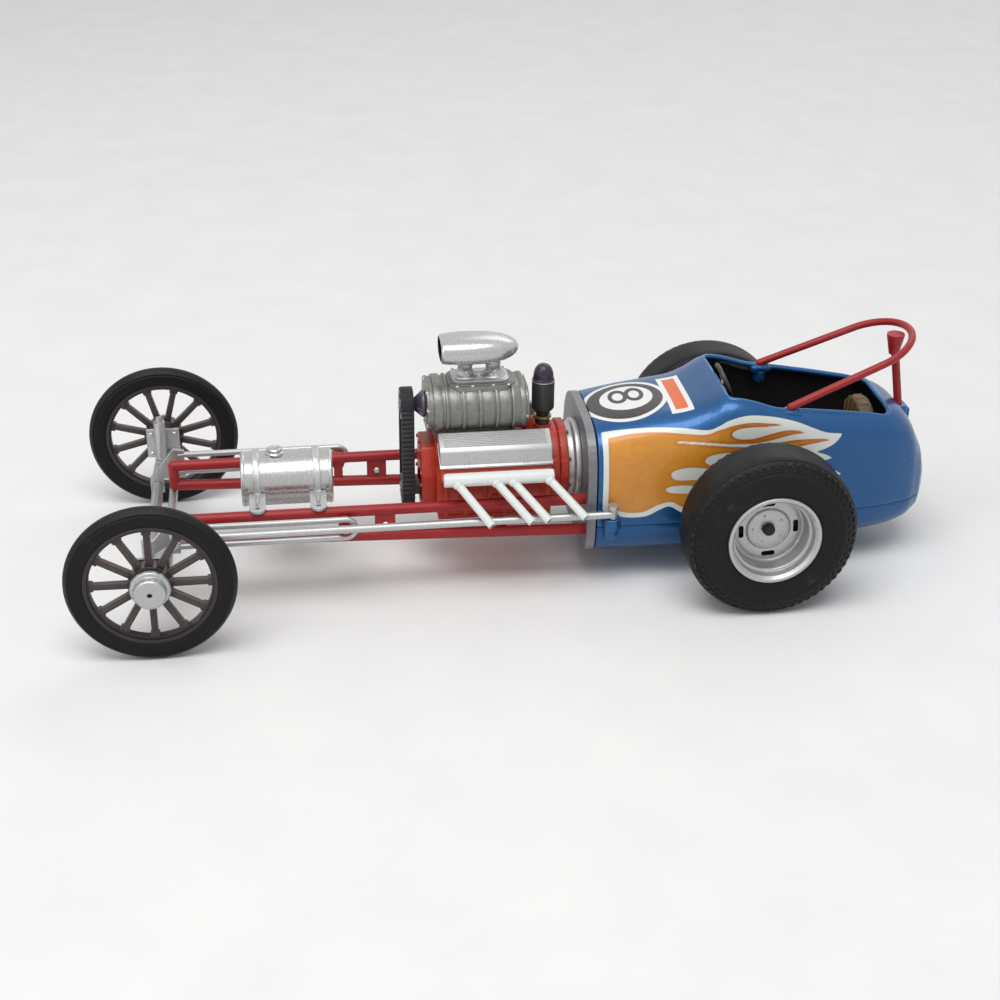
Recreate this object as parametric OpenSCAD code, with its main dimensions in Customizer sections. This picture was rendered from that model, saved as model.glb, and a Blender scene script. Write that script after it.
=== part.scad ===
// Small scale model of a front-engined drag racing car, in millimetres.
// +X runs to the tail, +Y to the car's right, +Z up. The floor is Z = 0 and the
// origin lies under the middle of the car. Stations are measured from the front axle.

/* [Stance] */
// Front axle to rear axle
wheelbase = 106.5; // [90:0.5:130]
// Middle of one front wheel to the other
front_track = 57; // [50:0.5:64]
// Middle of one rear tyre to the other
rear_track = 46.8; // [44:0.2:56]
// Front axle to the tip of the tail
tail_station = 142; // [138:0.5:150]

/* [Front wheels] */
// Diameter of the front tyre
front_tyre_d = 28.6; // [26:0.1:32]
// Width of the front tyre
front_tyre_w = 2.8; // [2:0.1:4]
// Diameter that the front tyre seats on
front_seat_d = 22; // [20:0.1:23]
// Thickness of the front rim ring
front_rim_t = 0.9; // [0.6:0.1:1.4]
// Number of spokes
spoke_count = 12; // [6:1:16]
// Width of a spoke
spoke_w = 1.15; // [0.8:0.05:1.6]
// Diameter of the wooden style hub
front_hub_d = 5.8; // [5:0.1:7]
// Diameter of the hub cap's flange
cap_d = 6.8; // [6:0.1:8]
// How far the hub cap stands out from the middle of the wheel
cap_reach = 4.3; // [3.5:0.1:5]

/* [Rear wheels] */
// Diameter of the rear tyre
rear_tyre_d = 30.5; // [28:0.1:34]
// Width of the rear tyre
rear_tyre_w = 10; // [8:0.1:12]
// Diameter that the rear tyre seats on
rear_seat_d = 16.2; // [15:0.1:18]
// Depth of the dish, from the lip to the hub plate
dish_depth = 4.5; // [3:0.1:6]
// Diameter of the raised hub plate
hub_plate_d = 7.7; // [6:0.1:9]

/* [Front end] */
// Kingpin to kingpin
kingpin_track = 47; // [43:0.5:49]
// Height of the axle beam's middle
beam_z = 10.5; // [9.5:0.1:11.5]
// Diameter of the axle beam
beam_d = 2.1; // [1.4:0.1:2.2]
// Diameter of the kingpin
kingpin_d = 1.2; // [1:0.05:1.4]
// Height of the kingpin's top
kingpin_top = 20.5; // [19:0.1:22]
// Diameter of the wheel spindle
spindle_d = 1.8; // [1.4:0.05:2.2]
// Length of the tie rod arms, along the car
tie_arm = 2.5; // [2.3:0.1:2.8]
// Diameter of the tie rod
tie_rod_d = 1.6; // [1:0.05:1.7]
// Diameter of the drag link
drag_link_d = 1.4; // [1:0.05:1.5]
// Diameter of the radius rods
radius_rod_d = 1.1; // [0.9:0.05:1.2]
// Distance of each radius rod from the middle of the car
radius_rod_y = 14.6; // [14.2:0.1:15]

/* [Frame] */
// Diameter of the frame tubes
tube_d = 2; // [1.6:0.1:2.2]
// Distance of each frame side from the middle of the car
frame_y = 10.8; // [10.6:0.1:11]
// Height of the upper rails
upper_rail_z = 16.3; // [16:0.1:17]
// Height of the lower rails at the nose
lower_nose_z = 12.3; // [12.2:0.1:12.5]
// Height of the lower rails at the rear axle
lower_tail_z = 9.3; // [9:0.1:10]

/* [Fuel tank] */
// Diameter of the tank
tank_d = 10.1; // [9:0.1:11]
// Length of the tank
tank_l = 16.4; // [14:0.1:18]
// Height of the tank's middle
tank_z = 18.3; // [18:0.1:19]

/* [Engine] */
// Front axle to the front of the engine block
engine_station = 50; // [48:0.1:52]
// Length of the engine block
engine_l = 20.6; // [19:0.1:21]
// Height of the crankshaft
crank_z = 15; // [14.5:0.1:15.5]
// Length of the blower case
blower_l = 14.6; // [13:0.1:15]
// Height of the blower's middle
blower_z = 31.6; // [31.4:0.1:32]
// Width of the blower case
blower_w = 12; // [10:0.1:13]
// Height of the blower case
blower_h = 8.8; // [8:0.1:9]
// Diameter of each exhaust pipe
pipe_d = 1.5; // [1.2:0.05:1.7]
// Diameter of the magneto
magneto_d = 4.1; // [3.6:0.1:4.4]

/* [Body] */
// Thickness of the body's walls
wall = 1.1; // [0.8:0.05:1.4]
// Half of the body's greatest width
body_half = 13.5; // [13.3:0.1:14]
// Height of the seam between the body and the belly pan
seam_z = 11.6; // [11.2:0.1:12.4]
// Front axle to the front face of the body
body_station = 78; // [77.6:0.1:79]
// Front axle to the front edge of the cockpit
cockpit_station = 101.4; // [100:0.1:103]
// Length of the cockpit opening
cockpit_l = 31.2; // [28:0.1:32]

/* [Roll bar] */
// Diameter of the roll bar tube
bar_d = 1.35; // [1.1:0.05:1.5]
// Front axle to the feet of the roll bar
bar_station = 113; // [111:0.1:115]
// Half of the distance between the feet
bar_foot_y = 10.2; // [9.8:0.1:10.4]
// Height of the feet
bar_foot_z = 32.2; // [32:0.1:33]
// Lean of the hoop above the horizontal
bar_lean = 22; // [17:0.5:24]
// Length of the hoop along its lean
bar_l = 26.3; // [24:0.1:27]

/* [Hidden] */
$fn = 48;

// shared clearances
slip = 0.06;        // round a pin or a tube that passes through a hole
play = 0.12;        // between faces that slide or swing past each other
eps = 0.01;         // overlap of solids that are one piece

front_x = -(tail_station - front_tyre_d / 2) / 2;
front_axle_z = front_tyre_d / 2;
rear_axle_z = rear_tyre_d / 2;
LEFT = -1;
RIGHT = 1;

// a place given by its station, its offset to the right and its height
module at(station, y = 0, z = 0) translate([front_x + station, y, z]) children();

// a round bar between two places
module bar(from, to, d) {
  run = to - from;
  reach = norm(run);
  at(from[0], from[1], from[2])
    rotate([0, acos(run[2] / reach), atan2(run[1], run[0])])
      cylinder(d = d, h = reach);
}

// a round bar across the car, centred on y
module cross_bar(station, y, z, d, l) at(station, y, z) rotate([90, 0, 0]) cylinder(d = d, h = l, center = true);

// a round bar along the car from a station
module long_bar(station, y, z, d, l) at(station, y, z) rotate([0, 90, 0]) cylinder(d = d, h = l);

// a block given by its station range, offset range and height range
module block(stations, ys, zs) {
  at(stations[0], ys[0], zs[0])
    cube([stations[1] - stations[0], ys[1] - ys[0], zs[1] - zs[0]]);
}

// ---------- front end ----------
kingpin_station = -0.4;
beam_station = -0.9;
kingpin_y = kingpin_track / 2;
boss_d = kingpin_d + 1.4;
boss_h = 2.4;
boss_top = beam_z + boss_h / 2;
knuckle_wall = 0.4;
knuckle_d = kingpin_d + 2 * slip + 2 * knuckle_wall;
knuckle_base = boss_top + play;
knuckle_top = kingpin_top - 0.9;
// square plate on each knuckle, and the web that carries it
plate_l = 6.2;
plate_h = 5.8;
plate_t = 0.6;
plate_y = kingpin_y + boss_d / 2 + play;
plate_base = front_axle_z - plate_h / 2;
web_t = 1;
web_rise = 0.6;
// arms, and the pins that stand on them
arm_t = 0.8;
arm_w = 1.1;
pin_d = 0.7;
tie_station = kingpin_station + tie_arm;
tie_y = kingpin_y;
tie_drop = 0.55;
tie_z = knuckle_base - tie_drop - tie_rod_d / 2;
eye_wall = 0.25;
cap_wall = 1.4;
link_nose = [3.8, -17.6, 16.4];
link_tail = [80.5, -15.3, 15.2];
link_arm_top = link_nose[2] - drag_link_d / 2 - play;
head_d = 1.9;
head_t = 0.7;
head_rise = 0.5;

module front_axle() color("silver") {
  cross_bar(beam_station, 0, beam_z, beam_d, kingpin_track - boss_d / 2);
  for (side = [LEFT, RIGHT]) {
    at(kingpin_station, side * kingpin_y, beam_z - boss_h / 2) cylinder(d = boss_d, h = boss_h);
    at(kingpin_station, side * kingpin_y, beam_z) cylinder(d = kingpin_d, h = kingpin_top - beam_z);
  }
}

// a flat arm between two upright pivots
module arm(from, to, z, t, w) {
  run = [to[0] - from[0], to[1] - from[1]];
  at(from[0], from[1], z)
    rotate([0, 0, atan2(run[1], run[0])])
      translate([0, -w / 2, 0]) cube([norm(run), w, t]);
  at(to[0], to[1], z) cylinder(d = w, h = t);
}

module knuckle(side) color("silver") {
  pivot = [kingpin_station, side * kingpin_y];
  difference() {
    union() {
      at(pivot[0], pivot[1], knuckle_base) cylinder(d = knuckle_d, h = knuckle_top - knuckle_base);
      block([-plate_l / 2, plate_l / 2], side > 0 ? [plate_y, plate_y + plate_t] : [-plate_y - plate_t, -plate_y],
            [plate_base, plate_base + plate_h]);
      block([kingpin_station - web_t / 2, kingpin_station + web_t / 2],
            side > 0 ? [kingpin_y, plate_y + eps] : [-plate_y - eps, -kingpin_y],
            [knuckle_base, plate_base + plate_h + web_rise]);
      arm(pivot, [tie_station, side * tie_y], knuckle_base, arm_t, arm_w);
      at(tie_station, side * tie_y, tie_z - tie_rod_d / 2) cylinder(d = pin_d, h = knuckle_base - tie_z + tie_rod_d);
      spindle_l = front_track / 2 + cap_reach - cap_wall - plate_y;
      at(0, side * (plate_y + spindle_l / 2), front_axle_z)
        rotate([90, 0, 0]) cylinder(d = spindle_d, h = spindle_l, center = true);
      if (side == LEFT) {
        arm(pivot, link_nose, link_arm_top - arm_t, arm_t, arm_w);
        at(link_nose[0], link_nose[1], link_arm_top - arm_t) cylinder(d = pin_d, h = arm_t + drag_link_d + 2 * play);
      }
    }
    at(pivot[0], pivot[1], knuckle_base - 1) cylinder(d = kingpin_d + 2 * slip, h = knuckle_top - knuckle_base + 2);
  }
}

// an eye at the end of a rod, open for an upright pin
module eye_hole(station, y, z, h) at(station, y, z - h / 2) cylinder(d = pin_d + 2 * slip, h = h);

module tie_rod() color("silver") {
  difference() {
    union() {
      cross_bar(tie_station, 0, tie_z, tie_rod_d, 2 * tie_y);
      for (side = [LEFT, RIGHT])
        at(tie_station, side * tie_y, tie_z - tie_rod_d / 2) cylinder(d = tie_rod_d + 2 * eye_wall, h = tie_rod_d);
    }
    for (side = [LEFT, RIGHT]) eye_hole(tie_station, side * tie_y, tie_z, 3 * tie_rod_d);
  }
}

module drag_link() color("silver") {
  difference() {
    union() {
      bar(link_nose, link_tail, drag_link_d);
      at(link_nose[0], link_nose[1], link_nose[2] - drag_link_d / 2) cylinder(d = drag_link_d + 2 * eye_wall, h = drag_link_d);
    }
    eye_hole(link_nose[0], link_nose[1], link_nose[2], 3 * drag_link_d);
  }
  // pin with its flat head at the tail
  at(link_tail[0], link_tail[1], link_tail[2] - drag_link_d / 2) cylinder(d = drag_link_d, h = drag_link_d + head_rise);
  at(link_tail[0], link_tail[1], link_tail[2] + drag_link_d / 2 + head_rise - eps) cylinder(d = head_d, h = head_t);
}

rod_nose = 3.2;
rod_tail = 33;
rod_top_z = 16.7;
rod_low_z = 13.2;
wing_t = 0.9;
// outline of the clamp that grips the axle beam and carries both legs: station, height
wing_outline = [[-2.2, 9.2], [0.3, 9.2], [0.3, 12.1], [4.4, 12.1], [4.4, 17.6], [2.4, 17.9], [-2.2, 12]];

module radius_rod(side) color("silver") {
  y = side * radius_rod_y;
  bend = (rod_top_z - rod_low_z) / 2;
  long_bar(rod_nose, y, rod_top_z, radius_rod_d, rod_tail - rod_nose);
  long_bar(rod_nose, y, rod_low_z, radius_rod_d, rod_tail - rod_nose);
  // bend that joins the two legs, round the frame's pivot
  difference() {
    at(rod_tail, y, rod_low_z + bend) rotate([90, 0, 0]) rotate_extrude() translate([bend, 0]) circle(d = radius_rod_d);
    block([rod_tail - 2 * bend, rod_tail], [y - radius_rod_d, y + radius_rod_d], [0, 2 * rod_top_z]);
  }
  difference() {
    at(0, y + wing_t / 2, 0) rotate([90, 0, 0])
      linear_extrude(wing_t) polygon(wing_outline);
    cross_bar(beam_station, y, beam_z, beam_d + 2 * slip, 3 * wing_t);
  }
}

// ---------- frame ----------
nose_station = 2.5;
axle_plate = [wheelbase - 3.1, wheelbase + 3.1];
axle_plate_t = 1;
axle_plate_in = 0.2;
axle_plate_z = [8.6, 18.2];
rail_end = axle_plate[0] + 0.5;
pivot_plate = [38.4, 42];
side_plate_t = 1;
stub_web = 1.6;
rear_axle_d = 3;
lower_slope = (lower_nose_z - lower_tail_z) / (wheelbase - nose_station);
function lower_z(station) = lower_nose_z - lower_slope * (station - nose_station);
cross_stations = [61.4, wheelbase - 7.5];

module frame_side(side) color("firebrick") {
  y = side * frame_y;
  sides = [y - side_plate_t / 2, y + side_plate_t / 2];
  plate_mid = side * (frame_y - axle_plate_in);
  long_bar(nose_station, y, upper_rail_z, tube_d, rail_end - nose_station);
  bar([nose_station, y, lower_nose_z], [rail_end, y, lower_z(rail_end)], tube_d);
  bar([nose_station, y, lower_nose_z], [nose_station, y, upper_rail_z], tube_d);
  for (z = [lower_nose_z, upper_rail_z]) at(nose_station, y, z) sphere(d = tube_d);
  // plate between the rails
  block(pivot_plate, sides, [lower_z(pivot_plate[0]), upper_rail_z]);
  // plate that holds the rear axle
  difference() {
    block(axle_plate, [plate_mid - axle_plate_t / 2, plate_mid + axle_plate_t / 2], axle_plate_z);
    cross_bar(wheelbase, y, rear_axle_z, rear_axle_d + 2 * slip, 4 * axle_plate_t);
  }
  // stub that the radius rod's bend lies round, on its web between the rails
  stub_l = radius_rod_y + radius_rod_d / 2 - frame_y;
  stub_d = rod_top_z - rod_low_z - radius_rod_d - 2 * slip;
  cross_bar(rod_tail, y + side * stub_l / 2, (rod_top_z + rod_low_z) / 2, stub_d, stub_l);
  block([rod_tail - stub_web / 2, rod_tail + stub_web / 2], sides, [lower_z(rod_tail), upper_rail_z]);
}

module frame_cross_members() color("firebrick") {
  for (station = cross_stations)
    cross_bar(station, 0, lower_z(station), tube_d, 2 * frame_y - tube_d);
}

// ---------- wheels ----------
// turn a profile of radius and offset about the axle; offsets grow to the outside
module turned(station, y, z, side, profile) {
  at(station, y, z) rotate([-90 * side, 0, 0]) rotate_extrude($fn = 96) polygon(profile);
}

module front_tyre(side) color("#1a1a1a") {
  half = front_tyre_w / 2;
  outer = front_tyre_d / 2;
  seat = front_seat_d / 2;
  shoulder = half * 0.9;
  at(0, side * front_track / 2, front_axle_z) rotate([90, 0, 0]) rotate_extrude($fn = 96) difference() {
    union() {
      translate([seat, -half]) square([outer - 0.7 * shoulder - seat, front_tyre_w]);
      translate([outer - shoulder, 0]) circle(r = shoulder);
    }
    translate([0, -half]) square([seat, front_tyre_w]);
  }
}

hub_w = 3.6;
module front_wheel(side) color("#352c31") {
  rim_w = front_tyre_w - 0.5;
  root = 1.5;
  y = side * front_track / 2;
  difference() {
    union() {
      at(0, y, front_axle_z) rotate([90, 0, 0]) difference() {
        cylinder(d = front_seat_d, h = rim_w, center = true, $fn = 96);
        cylinder(d = front_seat_d - 2 * front_rim_t, h = rim_w + 1, center = true, $fn = 96);
      }
      cross_bar(0, y, front_axle_z, front_hub_d, hub_w);
      for (i = [0 : spoke_count - 1])
        at(0, y, front_axle_z) rotate([0, i * 360 / spoke_count, 0])
          translate([root, -spoke_w / 2, -spoke_w / 2])
            cube([front_seat_d / 2 - front_rim_t / 2 - root, spoke_w, spoke_w]);
    }
    cross_bar(0, y, front_axle_z, spindle_d + 2 * slip, 2 * hub_w);
  }
}

module hub_cap(side) color("silver") {
  base = hub_w / 2;
  flange = cap_d / 2;
  crown = cap_d / 2 - 0.65;
  bore = spindle_d / 2 + 0.3;
  hole = 0.45;
  turned(0, side * front_track / 2, front_axle_z, side, [
    [0, cap_reach - 0.5], [hole, cap_reach - 0.5], [hole, cap_reach], [crown - 0.35, cap_reach],
    [crown, cap_reach - 0.35], [crown, base + 0.9], [flange - 0.2, base + 0.8], [flange, base + 0.5],
    [flange, base], [bore, base], [bore, cap_reach - 1], [0, cap_reach - 1]
  ]);
}

module rear_tyre(side) color("#1a1a1a") {
  half = rear_tyre_w / 2;
  outer = rear_tyre_d / 2;
  seat = rear_seat_d / 2;
  turned(wheelbase, side * rear_track / 2, rear_axle_z, side, [
    [seat, -half + 0.7], [seat + 1.5, -half + 0.2], [seat + 3.5, -half], [outer - 2.6, -half],
    [outer - 1.2, -half + 0.6], [outer - 0.25, -half + 1.7], [outer, -half + 3], [outer, half - 3],
    [outer - 0.25, half - 1.7], [outer - 1.2, half - 0.6], [outer - 2.6, half], [seat + 3.5, half],
    [seat + 1.5, half - 0.2], [seat, half - 0.7]
  ]);
}

rear_bore_d = 2;
rim_web = 1.6;
module rear_rim(side) color("silver") {
  half = rear_tyre_w / 2;
  seat = rear_seat_d / 2;
  face = half - dish_depth;
  plate = hub_plate_d / 2;
  turned(wheelbase, side * rear_track / 2, rear_axle_z, side, [
    [rear_bore_d / 2 + slip, face - rim_web], [rear_bore_d / 2 + slip, face], [plate, face], [plate, face - 0.4],
    [seat - 2.1, face - 0.4], [seat - 1.6, face + 0.4], [seat - 1.6, half - 1.9], [seat - 1.1, half - 1.5],
    [seat - 1.1, half - 0.4], [seat - 0.4, half], [seat + 0.2, half], [seat + 0.2, half - 0.6], [seat, half - 0.7],
    [seat, -half + 0.7], [seat - 0.8, -half + 0.7], [seat - 0.8, face - 2.2], [seat - 2.4, face - rim_web]
  ]);
}

differential_d = 7.4;
module rear_axle() color("silver") {
  face = rear_track / 2 + rear_tyre_w / 2 - dish_depth;
  stub_end = face + 0.5;
  tube_end = face - rim_web - play - 1.2;
  cross_bar(wheelbase, 0, rear_axle_z, rear_axle_d, 2 * tube_end);
  cross_bar(wheelbase, 0, rear_axle_z, rear_bore_d, 2 * stub_end);
  at(wheelbase, 0, rear_axle_z) sphere(d = differential_d);
}

// ---------- fuel tank ----------
tank_station = 15.1;
strap_stations = [17.9, 28.6];
strap_w = 1.1;
strap_t = 0.3;

module fuel_tank() color("lightgray") {
  r = tank_d / 2;
  edge = 0.8;
  at(tank_station, 0, tank_z) rotate([0, 90, 0]) rotate_extrude($fn = 72) polygon([
    [0, 0], [r - 1.9, 0], [r - 0.7, 0.25], [r, edge], [r, tank_l - edge], [r - 0.7, tank_l - 0.25],
    [r - 1.9, tank_l], [0, tank_l]
  ]);
}

module tank_straps() color("silver") {
  tab_z = upper_rail_z + tube_d / 2;
  tab_t = 0.6;
  tab_l = 2.9;
  tab_in = tank_d / 2 - 0.65;
  tab_hole = 0.8;
  for (station = strap_stations) {
    difference() {
      union() {
        long_bar(station - strap_w / 2, 0, tank_z, tank_d + 2 * strap_t, strap_w);
        for (side = [LEFT, RIGHT]) {
          at(station, side * frame_y, tab_z) cylinder(d = tab_l, h = tab_t);
          block([station - tab_l / 2, station + tab_l / 2],
                side > 0 ? [tab_in, frame_y] : [-frame_y, -tab_in], [tab_z, tab_z + tab_t]);
        }
      }
      long_bar(station - tab_l, 0, tank_z, tank_d + 2 * slip, 2 * tab_l);
      for (side = [LEFT, RIGHT]) at(station, side * frame_y, tab_z - tab_t) cylinder(d = tab_hole, h = 3 * tab_t);
    }
  }
}

filler_station = 21.3;
filler_d = 3.4;
filler_sink = 0.3;
module filler_cap() color("silver") {
  difference() {
    at(filler_station, 0, tank_z + tank_d / 2 - filler_sink) union() {
      cylinder(d = filler_d, h = 0.7);
      cylinder(d = filler_d - 0.8, h = 1.3);
    }
    long_bar(filler_station - filler_d, 0, tank_z, tank_d + 2 * eps, 2 * filler_d);
  }
}

// ---------- engine ----------
engine_end = engine_station + engine_l;
block_half = 7.4;
block_z = [11.8, 21];
valley_z = 25.6;
sump_half = 4.6;
sump_z = 8.2;
head_station = engine_station + 0.3;
head_l = engine_l - 0.8;
// outlines of one head and one valve cover: offset from the middle, height
head_outline = [[4, 25], [5.2, 25.6], [9.7, 23.5], [10.7, 21.2], [7, 18.6], [4, 20]];
cover_outline = [[5.4, 27.9], [5.9, 28.4], [9.2, 26.8], [9.7, 26.2], [10.1, 23.6], [9.7, 23.52], [5.2, 25.62]];
cover_station = engine_station + 0.2;
cover_l = engine_l - 0.6;
timing_t = 2.6;
timing_half = 5.2;
timing_z = [13, 24.6];
magneto_station = engine_end - 0.7;
fitting_station = engine_end - 3.3;
fitting_top = 31;
flange_t = 1.6;
flange_d = 14.4;
flange_z = 19.2;

// a long prism along the car from an outline across it, on one side
module side_prism(station, l, outline, side)
  at(station, 0, 0) rotate([90, 0, 90]) linear_extrude(l) polygon([for (p = outline) [side * p[0], p[1]]]);

module engine_block() color("#b5402c") {
  block([engine_station, engine_end], [-block_half, block_half], block_z);
  block([engine_station + 13, engine_end - 0.6], [-sump_half, sump_half], [sump_z, block_z[0] + eps]);
  // valley between the banks, under the blower
  block([engine_station, engine_end], [-4.5, 4.5], [block_z[1] - eps, valley_z]);
  for (side = [LEFT, RIGHT]) side_prism(head_station, head_l, head_outline, side);
  // timing cover
  block([engine_station - timing_t, engine_station + eps], [-timing_half, timing_half], timing_z);
  long_bar(engine_station - timing_t, 0, crank_z, 2 * timing_half - 1, timing_t + eps);
  // seat of the magneto, and the fitting in front of it
  at(magneto_station, 0, valley_z - eps) cylinder(d = 3.4, h = 1.2);
  at(fitting_station, 0, valley_z - eps) cylinder(d = 0.9, h = fitting_top - valley_z);
  // flange to the clutch housing
  long_bar(engine_end - eps, 0, flange_z, flange_d, flange_t);
}

module valve_covers() color("silver") {
  for (side = [LEFT, RIGHT]) side_prism(cover_station, cover_l, cover_outline, side);
}

// places of the pipes along the log, and the run of each: back, outwards, up
pipe_places = [1.9, 8.7, 11.7, 18.2];
pipe_runs = [[5.9, 6.7, -5.9], [6.2, 6.5, -5.8], [6.2, 6.5, -5.6], [6.2, 6.5, -5.4]];
pipe_wall = 0.25;
log_station = engine_station + 0.6;
log_l = engine_l - 1;
log_d = 2.4;
log_y = 11.9;
log_z = 21.9;

// the place of pipe i's root, and its run outwards, back and down
function pipe_root(i, side) = [log_station + pipe_places[i], side * log_y, log_z];
function pipe_run(i, side) = [pipe_runs[i][0], side * pipe_runs[i][1], pipe_runs[i][2]];

module exhaust_header(side) color("white") {
  last = len(pipe_places) - 1;
  difference() {
    union() {
      long_bar(log_station, side * log_y, log_z, log_d, log_l);
      for (station = [log_station, log_station + log_l]) at(station, side * log_y, log_z) sphere(d = log_d);
      for (i = [0 : last]) bar(pipe_root(i, side), pipe_root(i, side) + pipe_run(i, side), pipe_d);
    }
    for (i = [0 : last])
      bar(pipe_root(i, side) + 0.7 * pipe_run(i, side), pipe_root(i, side) + 1.1 * pipe_run(i, side), pipe_d - 2 * pipe_wall);
  }
}

blower_station = engine_station + 0.6;
rib_count = 5;
rib_w = 0.4;
rib_proud = 0.35;
rib_margin = 1.5;
front_plate_t = 2.2;
rear_plate_t = 1.6;
top_plate_t = 0.5;
deck_z = blower_z + blower_h / 2 + top_plate_t;

// a slice of the blower case, wider by proud all round
module case_slice(station, l, proud) {
  flat = blower_w - blower_h;
  at(station, 0, blower_z) rotate([0, 90, 0]) {
    for (side = [LEFT, RIGHT])
      translate([0, side * flat / 2, 0]) cylinder(d = blower_h + 2 * proud, h = l, $fn = 72);
    translate([-blower_h / 2 - proud, -flat / 2, 0]) cube([blower_h + 2 * proud, flat, l]);
  }
}

module blower() color("dimgray") {
  case_slice(blower_station, blower_l, 0);
  for (i = [0 : rib_count - 1])
    case_slice(blower_station + rib_margin - rib_w / 2 + i * (blower_l - 2 * rib_margin) / (rib_count - 1), rib_w, rib_proud);
  case_slice(blower_station - front_plate_t, front_plate_t + eps, 0.3);
  case_slice(blower_station + blower_l - eps, rear_plate_t, 0.1);
  // manifold below, and the plate on top
  block([blower_station + 0.6, blower_station + blower_l - 2], [-4.4, 4.4], [valley_z, blower_z]);
  block([blower_station + 1.8, blower_station + blower_l - 0.8], [-4.2, 4.2], [blower_z, deck_z]);
}

belt_station = engine_station - 6;
belt_w = 2.3;
upper_pulley_d = 5.4;
lower_pulley_d = 5.4;
belt_t = 0.5;
crank_nose_d = 3;

module blower_snout() color("#4a4650") {
  start = belt_station + belt_w - eps;
  long_bar(belt_station, 0, blower_z, upper_pulley_d, belt_w);
  at(start, 0, blower_z) rotate([0, 90, 0]) cylinder(d1 = 2.6, d2 = 5, h = blower_station - front_plate_t - start);
}

module crank_pulley() color("#4a4650") {
  start = belt_station + belt_w - eps;
  long_bar(belt_station, 0, crank_z, lower_pulley_d, belt_w);
  long_bar(start, 0, crank_z, crank_nose_d, engine_station - timing_t - start);
}

// a round-ended slot standing across the car, through both pulleys
module belt_outline(grow) {
  drop = blower_z - crank_z;
  circle(d = lower_pulley_d + 2 * grow);
  translate([0, drop]) circle(d = upper_pulley_d + 2 * grow);
  translate([-lower_pulley_d / 2 - grow, 0]) square([lower_pulley_d + 2 * grow, drop]);
}

module drive_belt() color("#1c1c1c") {
  at(belt_station, 0, crank_z) rotate([90, 0, 90]) linear_extrude(belt_w) difference() {
    belt_outline(belt_t);
    belt_outline(slip / 2);
  }
}

carb_stations = [blower_station + 5.1, blower_station + 10.1];
carb_plate_t = 0.6;
bowl_h = 1.6;
neck_d = 2.6;
neck_l = 1.9;
module carburettors() color("gray") {
  block([blower_station + 2.6, blower_station + 12.8], [-3, 3], [deck_z, deck_z + carb_plate_t]);
  for (station = carb_stations) {
    at(station, 0, deck_z) cylinder(d1 = 4.4, d2 = 2.8, h = bowl_h);
    at(station, 0, deck_z + bowl_h - eps) cylinder(d = neck_d, h = neck_l);
  }
}

scoop_z = deck_z + 5.5;
scoop_station = blower_station + 0.6;
scoop_l = 14;
scoop_wall = 0.6;
// sections of the scoop: distance from the mouth, half width, half height
scoop_sections = [[0, 3.9, 2.3], [4, 4.1, 2.55], [8, 3.9, 2.5], [11, 3.2, 2.1], [13, 2.1, 1.4], [scoop_l, 0.9, 0.6]];
module scoop_form(inset) {
  hull()
    for (s = scoop_sections)
      if (s[1] - inset > 0.2)
        at(scoop_station + s[0] - inset * s[0] / scoop_l, 0, scoop_z)
          rotate([0, 90, 0]) linear_extrude(0.02) scale([s[2] - inset, s[1] - inset]) circle(r = 1, $fn = 40);
}

module air_scoop() color("silver") {
  difference() {
    scoop_form(0);
    translate([-0.5, 0, 0]) scoop_form(scoop_wall);
    for (station = carb_stations) at(station, 0, scoop_z - 4) cylinder(d = neck_d + 2 * slip, h = 3);
  }
}

magneto_base = valley_z + 1.2;
magneto_cap_d = magneto_d - 0.3;
module magneto() color("#37373a") at(magneto_station, 0, magneto_base) {
  cylinder(d = 2.8, h = 2.8);
  translate([0, 0, 2.7]) cylinder(d = magneto_d, h = 6);
  translate([0, 0, 8.7 - eps]) cylinder(d = magneto_cap_d, h = 1.01);
  translate([0, 0, 9.7]) intersection() {
    sphere(d = magneto_cap_d);
    cylinder(d = magneto_d, h = magneto_d);
  }
}

wall_t = 1.6;
wall_gap = 0.2;
wall_station = body_station - wall_gap - wall_t;
wall_proud = 0.1;
clutch_d = 15.2;

module clutch_housing() color("silver") {
  start = engine_end - eps + flange_t;
  long_bar(start, 0, flange_z, clutch_d, wall_station - start);
}

module firewall() color("slategray") {
  front = body_sections[0];
  outline = [front[0], front[1] + wall_proud, front[2], front[3] + wall_proud, front[4]];
  difference() {
    at(wall_station, 0, 0) rotate([90, 0, 90]) linear_extrude(wall_t) polygon(section(outline, 0, 48));
    for (side = [LEFT, RIGHT]) {
      long_bar(wall_station - wall_t, side * frame_y, upper_rail_z, tube_d + 2 * slip, 3 * wall_t);
      bar([wall_station - wall_t, side * frame_y, lower_z(wall_station - wall_t)],
          [wall_station + 2 * wall_t, side * frame_y, lower_z(wall_station + 2 * wall_t)], tube_d + 2 * slip);
    }
  }
}

// ---------- body ----------
// body sections: station, half width, floor height, crown height, squareness of the top
mid_z = 14;
low_power = 4;
body_sections = [
  [body_station, body_half, 4.8, 29.6, 3.8],
  [84, body_half, 4.7, 30.7, 4],
  [90, body_half, 4.6, 31.5, 4.2],
  [95, body_half, 4.6, 32.1, 4.6],
  [98, body_half, 4.6, 33.1, 5.2],
  [101, body_half, 4.6, 34.6, 6],
  [103, body_half, 4.6, 34.9, 6.2],
  [106, body_half, 4.6, 34.2, 6.6],
  [110, body_half - 0.4, 4.6, 33.1, 6.6],
  [118, body_half - 0.8, 4.7, 31.9, 6.4],
  [126, body_half - 1.6, 4.9, 30.7, 6],
  [132, body_half - 2.6, 5.3, 29.9, 5],
  [135.5, body_half - 3.6, 5.8, 28.6, 4],
  [138.2, body_half - 4.8, 6.6, 25.6, 3.4],
  [140.4, body_half - 6.6, 7.8, 21.4, 3],
  [141.6, body_half - 8.7, 9.4, 17.6, 2.6],
  [tail_station, body_half - 10.9, 11.2, 14.8, 2.4]
];
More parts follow.
